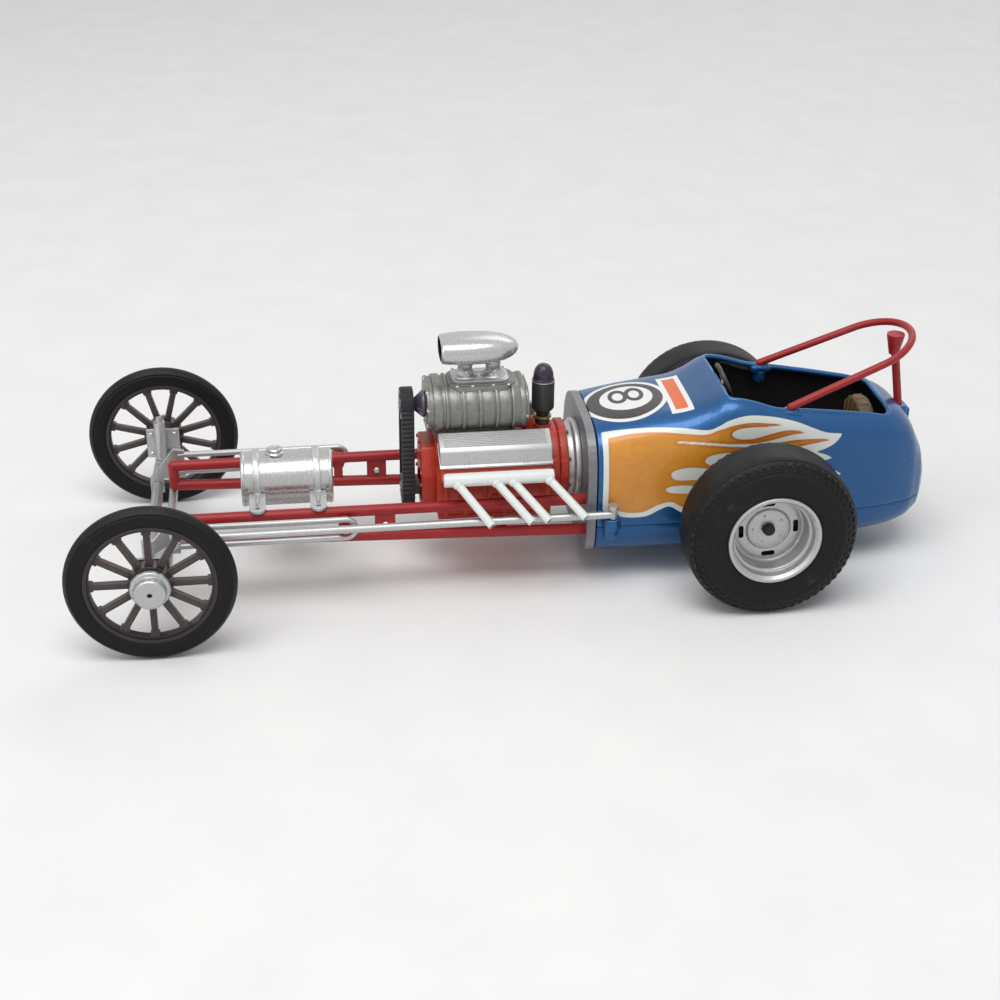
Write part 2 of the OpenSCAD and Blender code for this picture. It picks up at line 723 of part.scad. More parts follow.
tail_start = 130;

function power(v, p) = sign(v) * pow(abs(v), 2 / p);
// outline across the car of one section row, drawn in by inset
function section(row, inset, points) = [
  for (i = [0 : points - 1])
    let (a = i * 360 / points,
         top = sin(a) >= 0,
         p = top ? row[4] : low_power,
         h = top ? row[3] - inset - mid_z : mid_z - row[2] - inset)
    [(row[1] - inset) * power(cos(a), p), mid_z + h * power(sin(a), p)]
];
function inset_station(s, inset) =
  s < body_station + 0.1 ? s - 2 * sign(inset) : s - inset * max(0, (s - tail_start) / (tail_station - tail_start));

module body_form(inset, points = 40) {
  rows = [for (row = body_sections) if (row[1] > 2.2 * inset) row];
  n = len(rows);
  rings = [for (row = rows) for (p = section(row, inset * (row[0] > 137 ? 1.15 : 1), points))
    [front_x + inset_station(row[0], inset), p[0], p[1]]];
  ends = [[for (i = [0 : points - 1]) points - 1 - i], [for (i = [0 : points - 1]) (n - 1) * points + i]];
  sides = [for (r = [0 : n - 2]) for (i = [0 : points - 1])
    let (j = (i + 1) % points) [r * points + i, r * points + j, (r + 1) * points + j, (r + 1) * points + i]];
  polyhedron(rings, concat([for (f = ends) [for (k = [len(f) - 1 : -1 : 0]) f[k]]], [for (f = sides) [f[3], f[2], f[1], f[0]]]), 10);
}

opening_half = 10.5;
opening_rear_half = 8.8;
opening_corner = 1.6;
opening_rear_corner = 2.2;
module cockpit_cut() {
  low = 20;
  hull() for (side = [LEFT, RIGHT]) {
    at(cockpit_station + opening_corner, side * (opening_half - 0.4 - opening_corner), low)
      cylinder(r = opening_corner, h = low, $fn = 32);
    at(cockpit_station + 9, side * (opening_half - opening_corner), low)
      cylinder(r = opening_corner, h = low, $fn = 32);
    at(cockpit_station + cockpit_l - opening_rear_corner, side * (opening_rear_half - opening_rear_corner), low)
      cylinder(r = opening_rear_corner, h = low, $fn = 32);
  }
}

// everything below or above the seam
module below_seam() block([0, 2 * tail_station], [-2 * body_half, 2 * body_half], [0, seam_z]);
module above_seam() block([0, 2 * tail_station], [-2 * body_half, 2 * body_half], [seam_z, 4 * seam_z]);

bar_socket_d = bar_d + 1.7;
bar_socket_depth = 2.4;
brace_station = 137;
brace_z = 27.4;
brace_d = 1.5;
brace_socket_d = brace_d + 1.5;
brace_socket_depth = 3;
link_boss_d = 3.2;
axle_gap = 0.3;

module body_shell() color("#2868a8") {
  difference() {
    union() {
      difference() {
        body_form(0);
        body_form(wall);
        cockpit_cut();
      }
      // sockets for the roll bar's feet
      for (side = [LEFT, RIGHT])
        at(bar_station, side * bar_foot_y, bar_foot_z - bar_socket_depth - 1)
          cylinder(d = bar_socket_d, h = bar_socket_depth + 0.3);
      // socket for the rear brace
      at(brace_station, 0, brace_z - brace_socket_depth - 1.4)
        cylinder(d = brace_socket_d, h = brace_socket_depth + 1.4);
      // boss under the drag link's tail
      at(link_tail[0], -body_half - 1.1, seam_z + 0.2)
        cylinder(d = link_boss_d, h = link_tail[2] - drag_link_d / 2 - play - seam_z - 0.2);
    }
    below_seam();
    for (side = [LEFT, RIGHT])
      at(bar_station, side * bar_foot_y, bar_foot_z - bar_socket_depth)
        cylinder(d = bar_d + 2 * slip, h = 2 * bar_socket_depth);
    at(brace_station, 0, brace_z - brace_socket_depth)
      cylinder(d = brace_d + 2 * slip, h = 2 * brace_socket_depth);
    cross_bar(wheelbase, 0, rear_axle_z, rear_axle_d + 2 * axle_gap, 3 * body_half);
  }
}

module belly_pan() color("#2868a8") {
  difference() {
    body_form(0);
    body_form(wall);
    above_seam();
  }
}

// ---------- cockpit ----------
seat_station = 113.5;
seat_l = 15;
seat_half = 5;
seat_floor = 6.8;
cushion_t = 5.2;
back_t = 3;
back_h = 17;
module seat() color("#4b3c24") {
  block([seat_station, seat_station + seat_l], [-seat_half, seat_half], [seat_floor, seat_floor + cushion_t]);
  at(seat_station + seat_l - eps, 0, seat_floor) rotate([90, 0, 90]) linear_extrude(back_t) {
    translate([-seat_half, 0]) square([2 * seat_half, back_h]);
    translate([0, back_h]) circle(r = seat_half);
  }
}

// middle of the steering wheel, and the end of its column
steering_centre = [103.4, 0, 33];
column_end = [84, 0, 20];
steering_tilt = 68;
steering_r = 3.4;
steering_t = 0.9;
steering_spokes = 4;
module steering_wheel() color("#151515") {
  at(steering_centre[0], steering_centre[1], steering_centre[2]) rotate([0, steering_tilt, 0]) {
    rotate_extrude($fn = 64) translate([steering_r, 0]) circle(d = steering_t, $fn = 24);
    for (i = [0 : steering_spokes - 1]) rotate([0, 0, i * 360 / steering_spokes])
      translate([0, -0.3, -0.15]) cube([steering_r - 0.1, 0.6, 0.3]);
    cylinder(d = 1.6, h = 0.8, center = true);
  }
  bar(steering_centre, column_end, 1);
}

// ---------- roll bar ----------
bend_r = 8.8;

// the hoop lies in its own leaning plane: two legs that run into one round bend
module roll_bar() color("firebrick") {
  centre = bar_l - bend_r;
  reach = norm([centre, bar_foot_y]);
  leg = sqrt(reach * reach - bend_r * bend_r);
  // how far each leg turns in towards the middle
  turn_in = atan2(bar_foot_y, centre) - asin(bend_r / reach);
  at(bar_station, 0, bar_foot_z) rotate([0, -bar_lean, 0]) {
    for (side = [LEFT, RIGHT])
      translate([0, side * bar_foot_y, 0]) rotate([0, 90, -side * turn_in]) cylinder(d = bar_d + 2 * eps, h = leg + 0.2);
    translate([centre, 0, 0]) rotate([0, 0, -90 + turn_in])
      rotate_extrude(angle = 180 - 2 * turn_in, $fn = 96) translate([bend_r, 0]) circle(d = bar_d, $fn = 32);
  }
  foot_l = bar_socket_depth - 0.1;
  for (side = [LEFT, RIGHT]) at(bar_station, side * bar_foot_y, bar_foot_z - foot_l) {
    cylinder(d = bar_d, h = foot_l);
    translate([0, 0, foot_l]) sphere(d = bar_d + 8 * eps);
  }
}

rest_station = 135;
rest_z = [37.3, 40.7];
rest_d = [1.8, 3.2];
rest_cap_t = 0.5;
module head_rest() color("firebrick") {
  foot_l = brace_socket_depth - 0.1;
  at(brace_station, 0, brace_z - foot_l) cylinder(d = brace_d, h = foot_l);
  at(brace_station, 0, brace_z) sphere(d = brace_d + 8 * eps);
  bar([brace_station, 0, brace_z], [rest_station + 0.2, 0, rest_z[0] + 0.7], brace_d);
  at(rest_station, 0, rest_z[0]) cylinder(d1 = rest_d[0], d2 = rest_d[1], h = rest_z[1] - rest_z[0]);
  at(rest_station, 0, rest_z[1] - eps) cylinder(d = rest_d[1], h = rest_cap_t);
}

frame_side(LEFT);  // frame_side_left
frame_side(RIGHT);  // frame_side_right
frame_cross_members();
front_axle();
radius_rod(LEFT);  // radius_rod_left
radius_rod(RIGHT);  // radius_rod_right
knuckle(LEFT);  // knuckle_left
knuckle(RIGHT);  // knuckle_right
tie_rod();
drag_link();
front_tyre(LEFT);  // front_tyre_left
front_tyre(RIGHT);  // front_tyre_right
front_wheel(LEFT);  // front_wheel_left
front_wheel(RIGHT);  // front_wheel_right
hub_cap(LEFT);  // hub_cap_left
hub_cap(RIGHT);  // hub_cap_right
rear_tyre(LEFT);  // rear_tyre_left
rear_tyre(RIGHT);  // rear_tyre_right
rear_rim(LEFT);  // rear_rim_left
rear_rim(RIGHT);  // rear_rim_right
rear_axle();
fuel_tank();
tank_straps();
filler_cap();
engine_block();
valve_covers();
exhaust_header(LEFT);  // exhaust_header_left
exhaust_header(RIGHT);  // exhaust_header_right
blower();
blower_snout();
crank_pulley();
drive_belt();
carburettors();
air_scoop();
magneto();
clutch_housing();
firewall();
body_shell();
belly_pan();
seat();
steering_wheel();
roll_bar();
head_rest();
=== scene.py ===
import math

import bmesh
import bpy
import numpy as np
from mathutils import Matrix, Vector


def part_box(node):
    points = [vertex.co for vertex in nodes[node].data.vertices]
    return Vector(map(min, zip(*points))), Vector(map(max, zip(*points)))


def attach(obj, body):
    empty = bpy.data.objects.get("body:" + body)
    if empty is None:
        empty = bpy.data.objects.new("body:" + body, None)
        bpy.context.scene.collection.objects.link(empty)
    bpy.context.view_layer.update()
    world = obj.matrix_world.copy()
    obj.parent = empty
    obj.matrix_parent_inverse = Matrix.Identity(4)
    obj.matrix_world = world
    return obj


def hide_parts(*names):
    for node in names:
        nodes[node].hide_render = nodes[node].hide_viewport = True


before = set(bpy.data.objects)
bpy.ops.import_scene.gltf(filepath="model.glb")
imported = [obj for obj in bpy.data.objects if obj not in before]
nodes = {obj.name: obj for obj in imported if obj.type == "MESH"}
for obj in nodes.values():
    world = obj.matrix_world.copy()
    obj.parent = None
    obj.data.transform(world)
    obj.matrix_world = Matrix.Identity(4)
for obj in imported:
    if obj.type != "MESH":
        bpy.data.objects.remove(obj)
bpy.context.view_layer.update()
mm = 0.001
print("frame loaded:", len(nodes), "nodes")


# places taken from the frame, in millimetres
def boxOf(node):
    low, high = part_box(node)
    return low / mm, high / mm


def middleOf(node):
    low, high = boxOf(node)
    return (low + high) / 2


axleX = middleOf("front_tyre_left").x  # stations are measured from the front axle
frontWheelY = middleOf("front_tyre_right").y
frontWheelZ = middleOf("front_tyre_left").z
rearWheelX = middleOf("rear_tyre_left").x
rearWheelY = middleOf("rear_tyre_right").y
rearWheelZ = middleOf("rear_tyre_left").z
sides = {"left": -1, "right": 1}


# camera
camera = {"place": (-0.04104, -0.27544, 0.1576), "turn": -7.64, "down": 27.04, "roll": 0.51,
          "lens": 60.97, "shiftX": 0.0135, "shiftY": -0.0211}


def makeCamera():
    data = bpy.data.cameras.new("camera")
    data.lens = camera["lens"]
    data.sensor_width = 36
    data.shift_x = camera["shiftX"]
    data.shift_y = camera["shiftY"]
    data.clip_start = 0.01
    data.clip_end = 20
    obj = bpy.data.objects.new("camera", data)
    bpy.context.scene.collection.objects.link(obj)
    turn = Matrix.Rotation(math.radians(camera["turn"]), 4, "Z")
    tilt = Matrix.Rotation(math.radians(90 - camera["down"]), 4, "X")
    roll = Matrix.Rotation(math.radians(camera["roll"]), 4, "Z")
    obj.matrix_world = Matrix.Translation(camera["place"]) @ turn @ tilt @ roll
    bpy.context.scene.camera = obj


makeCamera()


# shader node helpers
def addNode(tree, kind, **settings):
    node = tree.nodes.new(kind)
    for key, value in settings.items():
        if key in node.bl_rna.properties:
            setattr(node, key, value)
        else:
            node.inputs[key.replace("_", " ")].default_value = value
    return node


def maths(tree, operation, a, b=0.0, clamp=False):
    node = tree.nodes.new("ShaderNodeMath")
    node.operation = operation
    node.use_clamp = clamp
    for socket, value in zip(node.inputs, (a, b)):
        if isinstance(value, (int, float)):
            socket.default_value = value
        else:
            tree.links.new(value, socket)
    return node.outputs[0]


def remap(tree, value, low, high, toLow=0.0, toHigh=1.0, smooth=False):
    node = tree.nodes.new("ShaderNodeMapRange")
    node.interpolation_type = "SMOOTHSTEP" if smooth else "LINEAR"
    tree.links.new(value, node.inputs["Value"])
    for name, number in (("From Min", low), ("From Max", high), ("To Min", toLow), ("To Max", toHigh)):
        if isinstance(number, (int, float)):
            node.inputs[name].default_value = number
        else:
            tree.links.new(number, node.inputs[name])
    return node.outputs["Result"]


def mixColour(tree, factor, a, b, blend="MIX"):
    node = tree.nodes.new("ShaderNodeMix")
    node.data_type = "RGBA"
    node.blend_type = blend
    for socket, value in ((node.inputs["Factor"], factor), (node.inputs[6], a), (node.inputs[7], b)):
        if isinstance(value, (int, float)):
            socket.default_value = value
        elif isinstance(value, tuple):
            socket.default_value = (*value, 1) if len(value) == 3 else value
        else:
            tree.links.new(value, socket)
    return node.outputs[2]


def newGroup(name, inputs, outputs):
    group = bpy.data.node_groups.new(name, "ShaderNodeTree")
    for label, kind, value in inputs:
        socket = group.interface.new_socket(label, in_out="INPUT", socket_type=kind)
        if value is not None:
            socket.default_value = value
    for label, kind in outputs:
        group.interface.new_socket(label, in_out="OUTPUT", socket_type=kind)
    return group, group.nodes.new("NodeGroupInput"), group.nodes.new("NodeGroupOutput")


def scaledPlace(tree, scale):
    place = tree.nodes.new("ShaderNodeTexCoord")  # object coordinates are the car's own, in metres
    grow = tree.nodes.new("ShaderNodeVectorMath")
    grow.operation = "SCALE"
    tree.links.new(place.outputs["Object"], grow.inputs[0])
    if isinstance(scale, (int, float)):
        grow.inputs["Scale"].default_value = scale
    else:
        tree.links.new(scale, grow.inputs["Scale"])
    return grow.outputs[0]


def makeGrainGroup():
    group, inside, out = newGroup("fineGrain", [("Scale", "NodeSocketFloat", 2500.0),
            ("Depth", "NodeSocketFloat", 0.2), ("Height", "NodeSocketFloat", 0.00002)],
            [("Value", "NodeSocketFloat"), ("Normal", "NodeSocketVector")])
    noise = addNode(group, "ShaderNodeTexNoise", Scale=1.0, Detail=4.0, Roughness=0.6)
    group.links.new(scaledPlace(group, inside.outputs["Scale"]), noise.inputs["Vector"])
    bump = group.nodes.new("ShaderNodeBump")
    group.links.new(noise.outputs["Fac"], bump.inputs["Height"])
    group.links.new(inside.outputs["Depth"], bump.inputs["Strength"])
    group.links.new(inside.outputs["Height"], bump.inputs["Distance"])
    group.links.new(noise.outputs["Fac"], out.inputs["Value"])
    group.links.new(bump.outputs["Normal"], out.inputs["Normal"])
    return group


def makeFlakeGroup():
    group, inside, out = newGroup("metalFlake", [
        ("Scale", "NodeSocketFloat", 9000.0), ("Spread", "NodeSocketFloat", 0.12)],
        [("Value", "NodeSocketFloat"), ("Normal", "NodeSocketVector")])
    cells = addNode(group, "ShaderNodeTexVoronoi", Scale=1.0)
    group.links.new(scaledPlace(group, inside.outputs["Scale"]), cells.inputs["Vector"])
    split = group.nodes.new("ShaderNodeSeparateColor")
    group.links.new(cells.outputs["Color"], split.inputs[0])
    centred = group.nodes.new("ShaderNodeVectorMath")
    centred.operation = "SUBTRACT"
    group.links.new(cells.outputs["Color"], centred.inputs[0])
    centred.inputs[1].default_value = (0.5, 0.5, 0.5)
    weighted = group.nodes.new("ShaderNodeVectorMath")
    weighted.operation = "SCALE"
    group.links.new(centred.outputs[0], weighted.inputs[0])
    group.links.new(inside.outputs["Spread"], weighted.inputs["Scale"])
    geometry = group.nodes.new("ShaderNodeNewGeometry")
    tilted = group.nodes.new("ShaderNodeVectorMath")
    group.links.new(geometry.outputs["Normal"], tilted.inputs[0])
    group.links.new(weighted.outputs[0], tilted.inputs[1])
    unit = group.nodes.new("ShaderNodeVectorMath")
    unit.operation = "NORMALIZE"
    group.links.new(tilted.outputs[0], unit.inputs[0])
    group.links.new(split.outputs[0], out.inputs["Value"])
    group.links.new(unit.outputs[0], out.inputs["Normal"])
    return group


def makeEdgeAndShadeGroup():
    group, inside, out = newGroup("edgeAndCreviceShade", [
        ("Edge Gain", "NodeSocketFloat", 6.0), ("Crevice Gain", "NodeSocketFloat", 6.0),
        ("Break Up", "NodeSocketFloat", 0.5), ("Scale", "NodeSocketFloat", 900.0)],
        [("Edge", "NodeSocketFloat"), ("Crevice", "NodeSocketFloat")])
    geometry = group.nodes.new("ShaderNodeNewGeometry")
    noise = addNode(group, "ShaderNodeTexNoise", Scale=1.0, Detail=3.0)
    group.links.new(scaledPlace(group, inside.outputs["Scale"]), noise.inputs["Vector"])
    patches = maths(group, "SUBTRACT", 1.0, maths(group, "MULTIPLY", noise.outputs["Fac"],
            inside.outputs["Break Up"]))
    raised = maths(group, "SUBTRACT", geometry.outputs["Pointiness"], 0.5)
    edge = maths(group, "MULTIPLY", maths(group, "MULTIPLY", raised, inside.outputs["Edge Gain"]),
                 patches, clamp=True)
    # painted shade: concave places, where pointiness falls below the middle, give the crevice shade mask
    sunk = maths(group, "MULTIPLY", raised, -1.0)
    creviceShade = maths(group, "MULTIPLY", sunk, inside.outputs["Crevice Gain"], clamp=True)
    group.links.new(edge, out.inputs["Edge"])
    group.links.new(creviceShade, out.inputs["Crevice"])
    return group


def makeTopDustGroup():
    group, inside, out = newGroup("topDust", [("Amount", "NodeSocketFloat", 0.1),
            ("Scale", "NodeSocketFloat", 300.0)], [("Mask", "NodeSocketFloat")])
    geometry = group.nodes.new("ShaderNodeNewGeometry")
    split = group.nodes.new("ShaderNodeSeparateXYZ")
    group.links.new(geometry.outputs["Normal"], split.inputs[0])
    noise = addNode(group, "ShaderNodeTexNoise", Scale=1.0, Detail=5.0)
    group.links.new(scaledPlace(group, inside.outputs["Scale"]), noise.inputs["Vector"])
    facing = remap(group, split.outputs["Z"], 0.2, 1.0)
    spots = remap(group, noise.outputs["Fac"], 0.35, 0.7)
    mask = maths(group, "MULTIPLY", maths(group, "MULTIPLY", facing, spots), inside.outputs["Amount"],
                 clamp=True)
    group.links.new(mask, out.inputs["Mask"])
    return group


grainGroup = makeGrainGroup()
flakeGroup = makeFlakeGroup()
edgeAndShadeGroup = makeEdgeAndShadeGroup()
dustGroup = makeTopDustGroup()
print("shader groups made")


def placeGroup(tree, group, **values):
    node = tree.nodes.new("ShaderNodeGroup")
    node.node_tree = group
    for key, value in values.items():
        node.inputs[key.replace("_", " ")].default_value = value
    return node


def startMaterial(name):
    material = bpy.data.materials.new(name)
    material.use_nodes = True
    tree = material.node_tree
    return material, tree, tree.nodes["Principled BSDF"]


def srgb(r, g, b):
    def linear(v):
        v /= 255
        return v / 12.92 if v <= 0.04045 else ((v + 0.055) / 1.055) ** 2.4
    return linear(r), linear(g), linear(b)


# one finish: paint or plastic with grain, metal flake, worn edges, painted shade darkening the crevices and a
# little dust
def makeFinish(name, look):
    material, tree, shader = startMaterial(name)
    base = srgb(*look["colour"])
    shader.inputs["Metallic"].default_value = look.get("metallic", 0.0)
    shader.inputs["Coat Weight"].default_value = look.get("coat", 0.0)
    shader.inputs["Coat Roughness"].default_value = look.get("coatRoughness", 0.1)
    shader.inputs["Specular IOR Level"].default_value = look.get("specular", 0.5)
    grain = placeGroup(tree, grainGroup, Scale=look.get("grainScale", 2500.0), Depth=look.get("grain", 0.3),
                       Height=look.get("grainHeight", 0.00002))
    edgeAndShade = placeGroup(tree, edgeAndShadeGroup, Edge_Gain=look.get("edgeGain", 5.0),
                      Crevice_Gain=look.get("creviceShadeGain", 8.0))
    dust = placeGroup(tree, dustGroup, Amount=look.get("dust", 0.05))
    spread = look.get("mottle", 0.12)
    dark = tuple(c * (1 - spread) for c in base)
    light = tuple(min(1.0, c * (1 + spread)) for c in base)
    colour = mixColour(tree, remap(tree, grain.outputs["Value"], 0.3, 0.7), dark, light)
    if "flake" in look:
        flake = placeGroup(tree, flakeGroup, Scale=look.get("flakeScale", 9000.0), Spread=look["flake"])
        colour = mixColour(tree, maths(tree, "MULTIPLY", flake.outputs["Value"], look.get("flakeTint", 0.25)),
                           colour, tuple(min(1.0, c * 1.6 + 0.05) for c in base))
        tree.links.new(flake.outputs["Normal"], shader.inputs["Normal"])
    else:
        tree.links.new(grain.outputs["Normal"], shader.inputs["Normal"])
    # painted shade: crevices darkened towards the crevice shade colour
    colour = mixColour(tree, edgeAndShade.outputs["Crevice"], colour, srgb(*look.get("creviceShadeColour", (30, 28, 28))))
    colour = mixColour(tree, edgeAndShade.outputs["Edge"], colour, srgb(*look.get("edgeColour", look["colour"])))
    colour = mixColour(tree, dust.outputs["Mask"], colour, srgb(205, 203, 198))
    tree.links.new(colour, shader.inputs["Base Color"])
    rough = look.get("roughness", 0.5)
    vary = look.get("roughnessVary", 0.12)
    tree.links.new(remap(tree, grain.outputs["Value"], 0.3, 0.7, rough - vary / 2, rough + vary / 2),
                   shader.inputs["Roughness"])
    return material


finishes = {
    "silverPaint": {"colour": (176, 177, 177), "metallic": 0.75, "roughness": 0.38, "flake": 0.1,
                    "flakeTint": 0.2, "creviceShadeColour": (70, 70, 74), "edgeColour": (235, 235, 235),
                    "edgeGain": 3.0, "mottle": 0.1},
    "brightSilver": {"colour": (188, 188, 187), "metallic": 0.9, "roughness": 0.27, "flake": 0.025,
                     "flakeTint": 0.05, "creviceShadeColour": (80, 80, 84), "edgeColour": (240, 240, 240),
                     "edgeGain": 2.0, "mottle": 0.08},
    "frameRed": {"colour": (152, 20, 24), "roughness": 0.44, "specular": 0.45, "grain": 0.25,
                 "creviceShadeColour": (60, 14, 18), "edgeColour": (186, 62, 58), "edgeGain": 2.0,
                 "mottle": 0.15, "dust": 0.02},
    "engineRed": {"colour": (172, 44, 28), "roughness": 0.4, "specular": 0.45, "grain": 0.35,
                  "creviceShadeColour": (52, 18, 14), "edgeColour": (226, 104, 78), "edgeGain": 3.5,
                  "creviceShadeGain": 14.0, "mottle": 0.25, "dust": 0.03},
    "gunmetal": {"colour": (76, 77, 75), "metallic": 0.65, "roughness": 0.4, "grain": 1.0,
                 "grainScale": 1300.0, "grainHeight": 0.00005, "creviceShadeColour": (18, 19, 17),
                 "creviceShadeGain": 22.0, "edgeColour": (196, 198, 190), "edgeGain": 9.0, "mottle": 0.5,
                 "dust": 0.0},
    "headerWhite": {"colour": (226, 230, 226), "roughness": 0.38, "grain": 0.2,
                    "creviceShadeColour": (120, 126, 122), "edgeColour": (245, 246, 244), "mottle": 0.04,
                    "dust": 0.0},
    "tyreBlack": {"colour": (15, 15, 17), "roughness": 0.5, "grain": 0.6, "grainScale": 3200.0,
                  "edgeColour": (70, 70, 74), "edgeGain": 3.0, "creviceShadeColour": (8, 8, 8), "mottle": 0.3,
                  "dust": 0.02, "specular": 0.22},
    "spokeBrown": {"colour": (33, 24, 30), "specular": 0.35, "roughness": 0.45, "grain": 0.6,
                   "grainScale": 1500.0, "edgeColour": (120, 108, 104), "edgeGain": 5.0,
                   "creviceShadeColour": (14, 10, 12), "mottle": 0.45, "dust": 0.0},
    "beltBlack": {"colour": (15, 15, 16), "specular": 0.25, "roughness": 0.6, "grain": 0.6,
                  "edgeColour": (72, 72, 76), "edgeGain": 5.0, "creviceShadeColour": (6, 6, 6), "dust": 0.02},
    "magnetoGrey": {"colour": (44, 45, 44), "specular": 0.35, "roughness": 0.45, "grain": 0.5,
                    "edgeColour": (120, 120, 118), "edgeGain": 5.0, "creviceShadeColour": (14, 14, 14),
                    "dust": 0.02},
    "magnetoCap": {"colour": (42, 30, 44), "roughness": 0.32, "grain": 0.3, "edgeColour": (110, 96, 112),
                   "edgeGain": 4.0, "creviceShadeColour": (10, 8, 12), "dust": 0.0},
    "snoutPurple": {"colour": (84, 74, 92), "metallic": 0.5, "roughness": 0.38, "grain": 0.4,
                    "edgeColour": (180, 176, 184), "edgeGain": 6.0, "creviceShadeColour": (18, 14, 20),
                    "dust": 0.0},
    "firewallGrey": {"colour": (78, 76, 86), "metallic": 0.35, "roughness": 0.42, "grain": 0.5,
                     "edgeColour": (196, 198, 200), "edgeGain": 9.0, "creviceShadeColour": (30, 28, 34),
                     "dust": 0.04},
    "cockpitBlack": {"colour": (18, 17, 19), "roughness": 0.6, "grain": 0.5, "edgeColour": (44, 44, 48),
                     "dust": 0.05},
    "seatLeather": {"colour": (84, 66, 38), "roughness": 0.5, "grain": 1.0, "grainScale": 1400.0,
                    "grainHeight": 0.00004, "edgeColour": (124, 100, 62), "edgeGain": 4.0,
                    "creviceShadeColour": (26, 20, 12), "mottle": 0.25, "dust": 0.03},
    "wheelBlack": {"colour": (28, 28, 30), "roughness": 0.35, "grain": 0.3, "edgeColour": (90, 90, 96),
                   "edgeGain": 4.0, "creviceShadeColour": (8, 8, 8), "dust": 0.04},
    "dullBrass": {"colour": (150, 128, 84), "metallic": 0.7, "roughness": 0.4, "grain": 0.3,
                  "edgeColour": (214, 196, 150), "creviceShadeColour": (50, 40, 24), "dust": 0.0},
    # black for holes, slots and hollows: painted shade
    "paintedShadeBlack": {"colour": (12, 12, 13), "roughness": 0.7, "grain": 0.3, "edgeColour": (12, 12, 13),
                  "dust": 0.0},
}
materials = {name: makeFinish(name, look) for name, look in finishes.items()}
print("finishes made:", len(materials))


# mesh helpers; every shape is (points, faces) in millimetres
def lathe(profile, steps=96, closed=True):
    points = [(r * math.cos(2 * math.pi * k / steps), r * math.sin(2 * math.pi * k / steps), z)
              for r, z in profile for k in range(steps)]
    rows = len(profile)
    last = rows if closed else rows - 1
    faces = [(i * steps + k, i * steps + (k + 1) % steps, (i + 1) % rows * steps + (k + 1) % steps,
              (i + 1) % rows * steps + k) for i in range(last) for k in range(steps)]
    return points, faces


def soften(outline, radius, steps=3, closed=True):
    out = []
    count = len(outline)
    for i, here in enumerate(outline):
        if not closed and i in (0, count - 1):
            out.append(tuple(here))
            continue
        a, b, c = Vector(outline[i - 1]), Vector(here), Vector(outline[(i + 1) % count])
        reach = min(radius, (a - b).length * 0.45, (c - b).length * 0.45)
        if reach < 1e-6:
            out.append(tuple(here))
            continue
        start, end = b + (a - b).normalized() * reach, b + (c - b).normalized() * reach
        for k in range(steps + 1):
            t = k / steps
            out.append(tuple(start * (1 - t) ** 2 + b * 2 * t * (1 - t) + end * t * t))
    return out


def shrink(outline, amount):
    count = len(outline)
    area = sum(outline[i][0] * outline[(i + 1) % count][1] - outline[(i + 1) % count][0] * outline[i][1]
               for i in range(count))
    turn = 1 if area > 0 else -1
    out = []
    for i in range(count):
        a, b, c = Vector(outline[i - 1]), Vector(outline[i]), Vector(outline[(i + 1) % count])
        u, v = (b - a).normalized(), (c - b).normalized()
        inward = Vector((-(u.y + v.y), u.x + v.x)) * turn
        if inward.length < 1e-9:
            out.append(tuple(b))
            continue
        inward.normalize()
        slope = max(0.5, abs(inward.dot(Vector((-v.y, v.x)))))
        out.append(tuple(b + inward * amount / slope))
    return out


def slab(outline, low, high, bevel=0.15, steps=2):
    rings = []
    for k in range(steps + 1):
        a = math.pi / 2 * k / steps
        rings.append((bevel * (1 - math.sin(a)), low + bevel * (1 - math.cos(a))))
    rings += [(inset, high - (z - low)) for inset, z in reversed(rings)]
    points, faces = [], []
    count = len(outline)
    for inset, z in rings:
        ring = shrink(outline, inset) if inset > 1e-6 else outline
        points += [(x, y, z) for x, y in ring]
    for r in range(len(rings) - 1):
        faces += [(r * count + i, r * count + (i + 1) % count, (r + 1) * count + (i + 1) % count,
                   (r + 1) * count + i) for i in range(count)]
    faces.append(tuple(reversed(range(count))))
    faces.append(tuple((len(rings) - 1) * count + i for i in range(count)))
    return points, faces


def roundedRectangle(x0, y0, x1, y1, radius, steps=4):
    return soften([(x0, y0), (x1, y0), (x1, y1), (x0, y1)], radius / 0.9, steps)


def brick(low, high, bevel=0.15, corner=None):
    outline = roundedRectangle(low[0], low[1], high[0], high[1], bevel if corner is None else corner)
    return slab(outline, low[2], high[2], bevel)


def tube(path, radius, sides=16, caps=True):
    path = [Vector(p) for p in path]
    radii = radius if isinstance(radius, (list, tuple)) else [radius] * len(path)
    tangents = [(path[min(i + 1, len(path) - 1)] - path[max(i - 1, 0)]).normalized()
                for i in range(len(path))]
    across = tangents[0].orthogonal().normalized()
    points, faces = [], []
    for i, (place, along) in enumerate(zip(path, tangents)):
        across = (across - along * across.dot(along)).normalized()
        up = along.cross(across)
        for k in range(sides):
            a = 2 * math.pi * k / sides
            points.append(tuple(place + (across * math.cos(a) + up * math.sin(a)) * radii[i]))
    for i in range(len(path) - 1):
        faces += [(i * sides + k, i * sides + (k + 1) % sides, (i + 1) * sides + (k + 1) % sides,
                   (i + 1) * sides + k) for k in range(sides)]
    if caps:
        faces.append(tuple(reversed(range(sides))))
        faces.append(tuple((len(path) - 1) * sides + k for k in range(sides)))
    return points, faces


def ringTube(path, radius, sides=10):
    path = [Vector(p) for p in path]
    count = len(path)
    points, faces = [], []
    up = Vector((0, 0, 1))
    for i in range(count):
        along = (path[(i + 1) % count] - path[i - 1]).normalized()
        across = along.cross(up).normalized()
        over = across.cross(along)
        for k in range(sides):
            a = 2 * math.pi * k / sides
            points.append(tuple(path[i] + (across * math.cos(a) + over * math.sin(a)) * radius))
    for i in range(count):
        j = (i + 1) % count
        faces += [(i * sides + k, i * sides + (k + 1) % sides, j * sides + (k + 1) % sides,
                   j * sides + k) for k in range(sides)]
    return points, faces


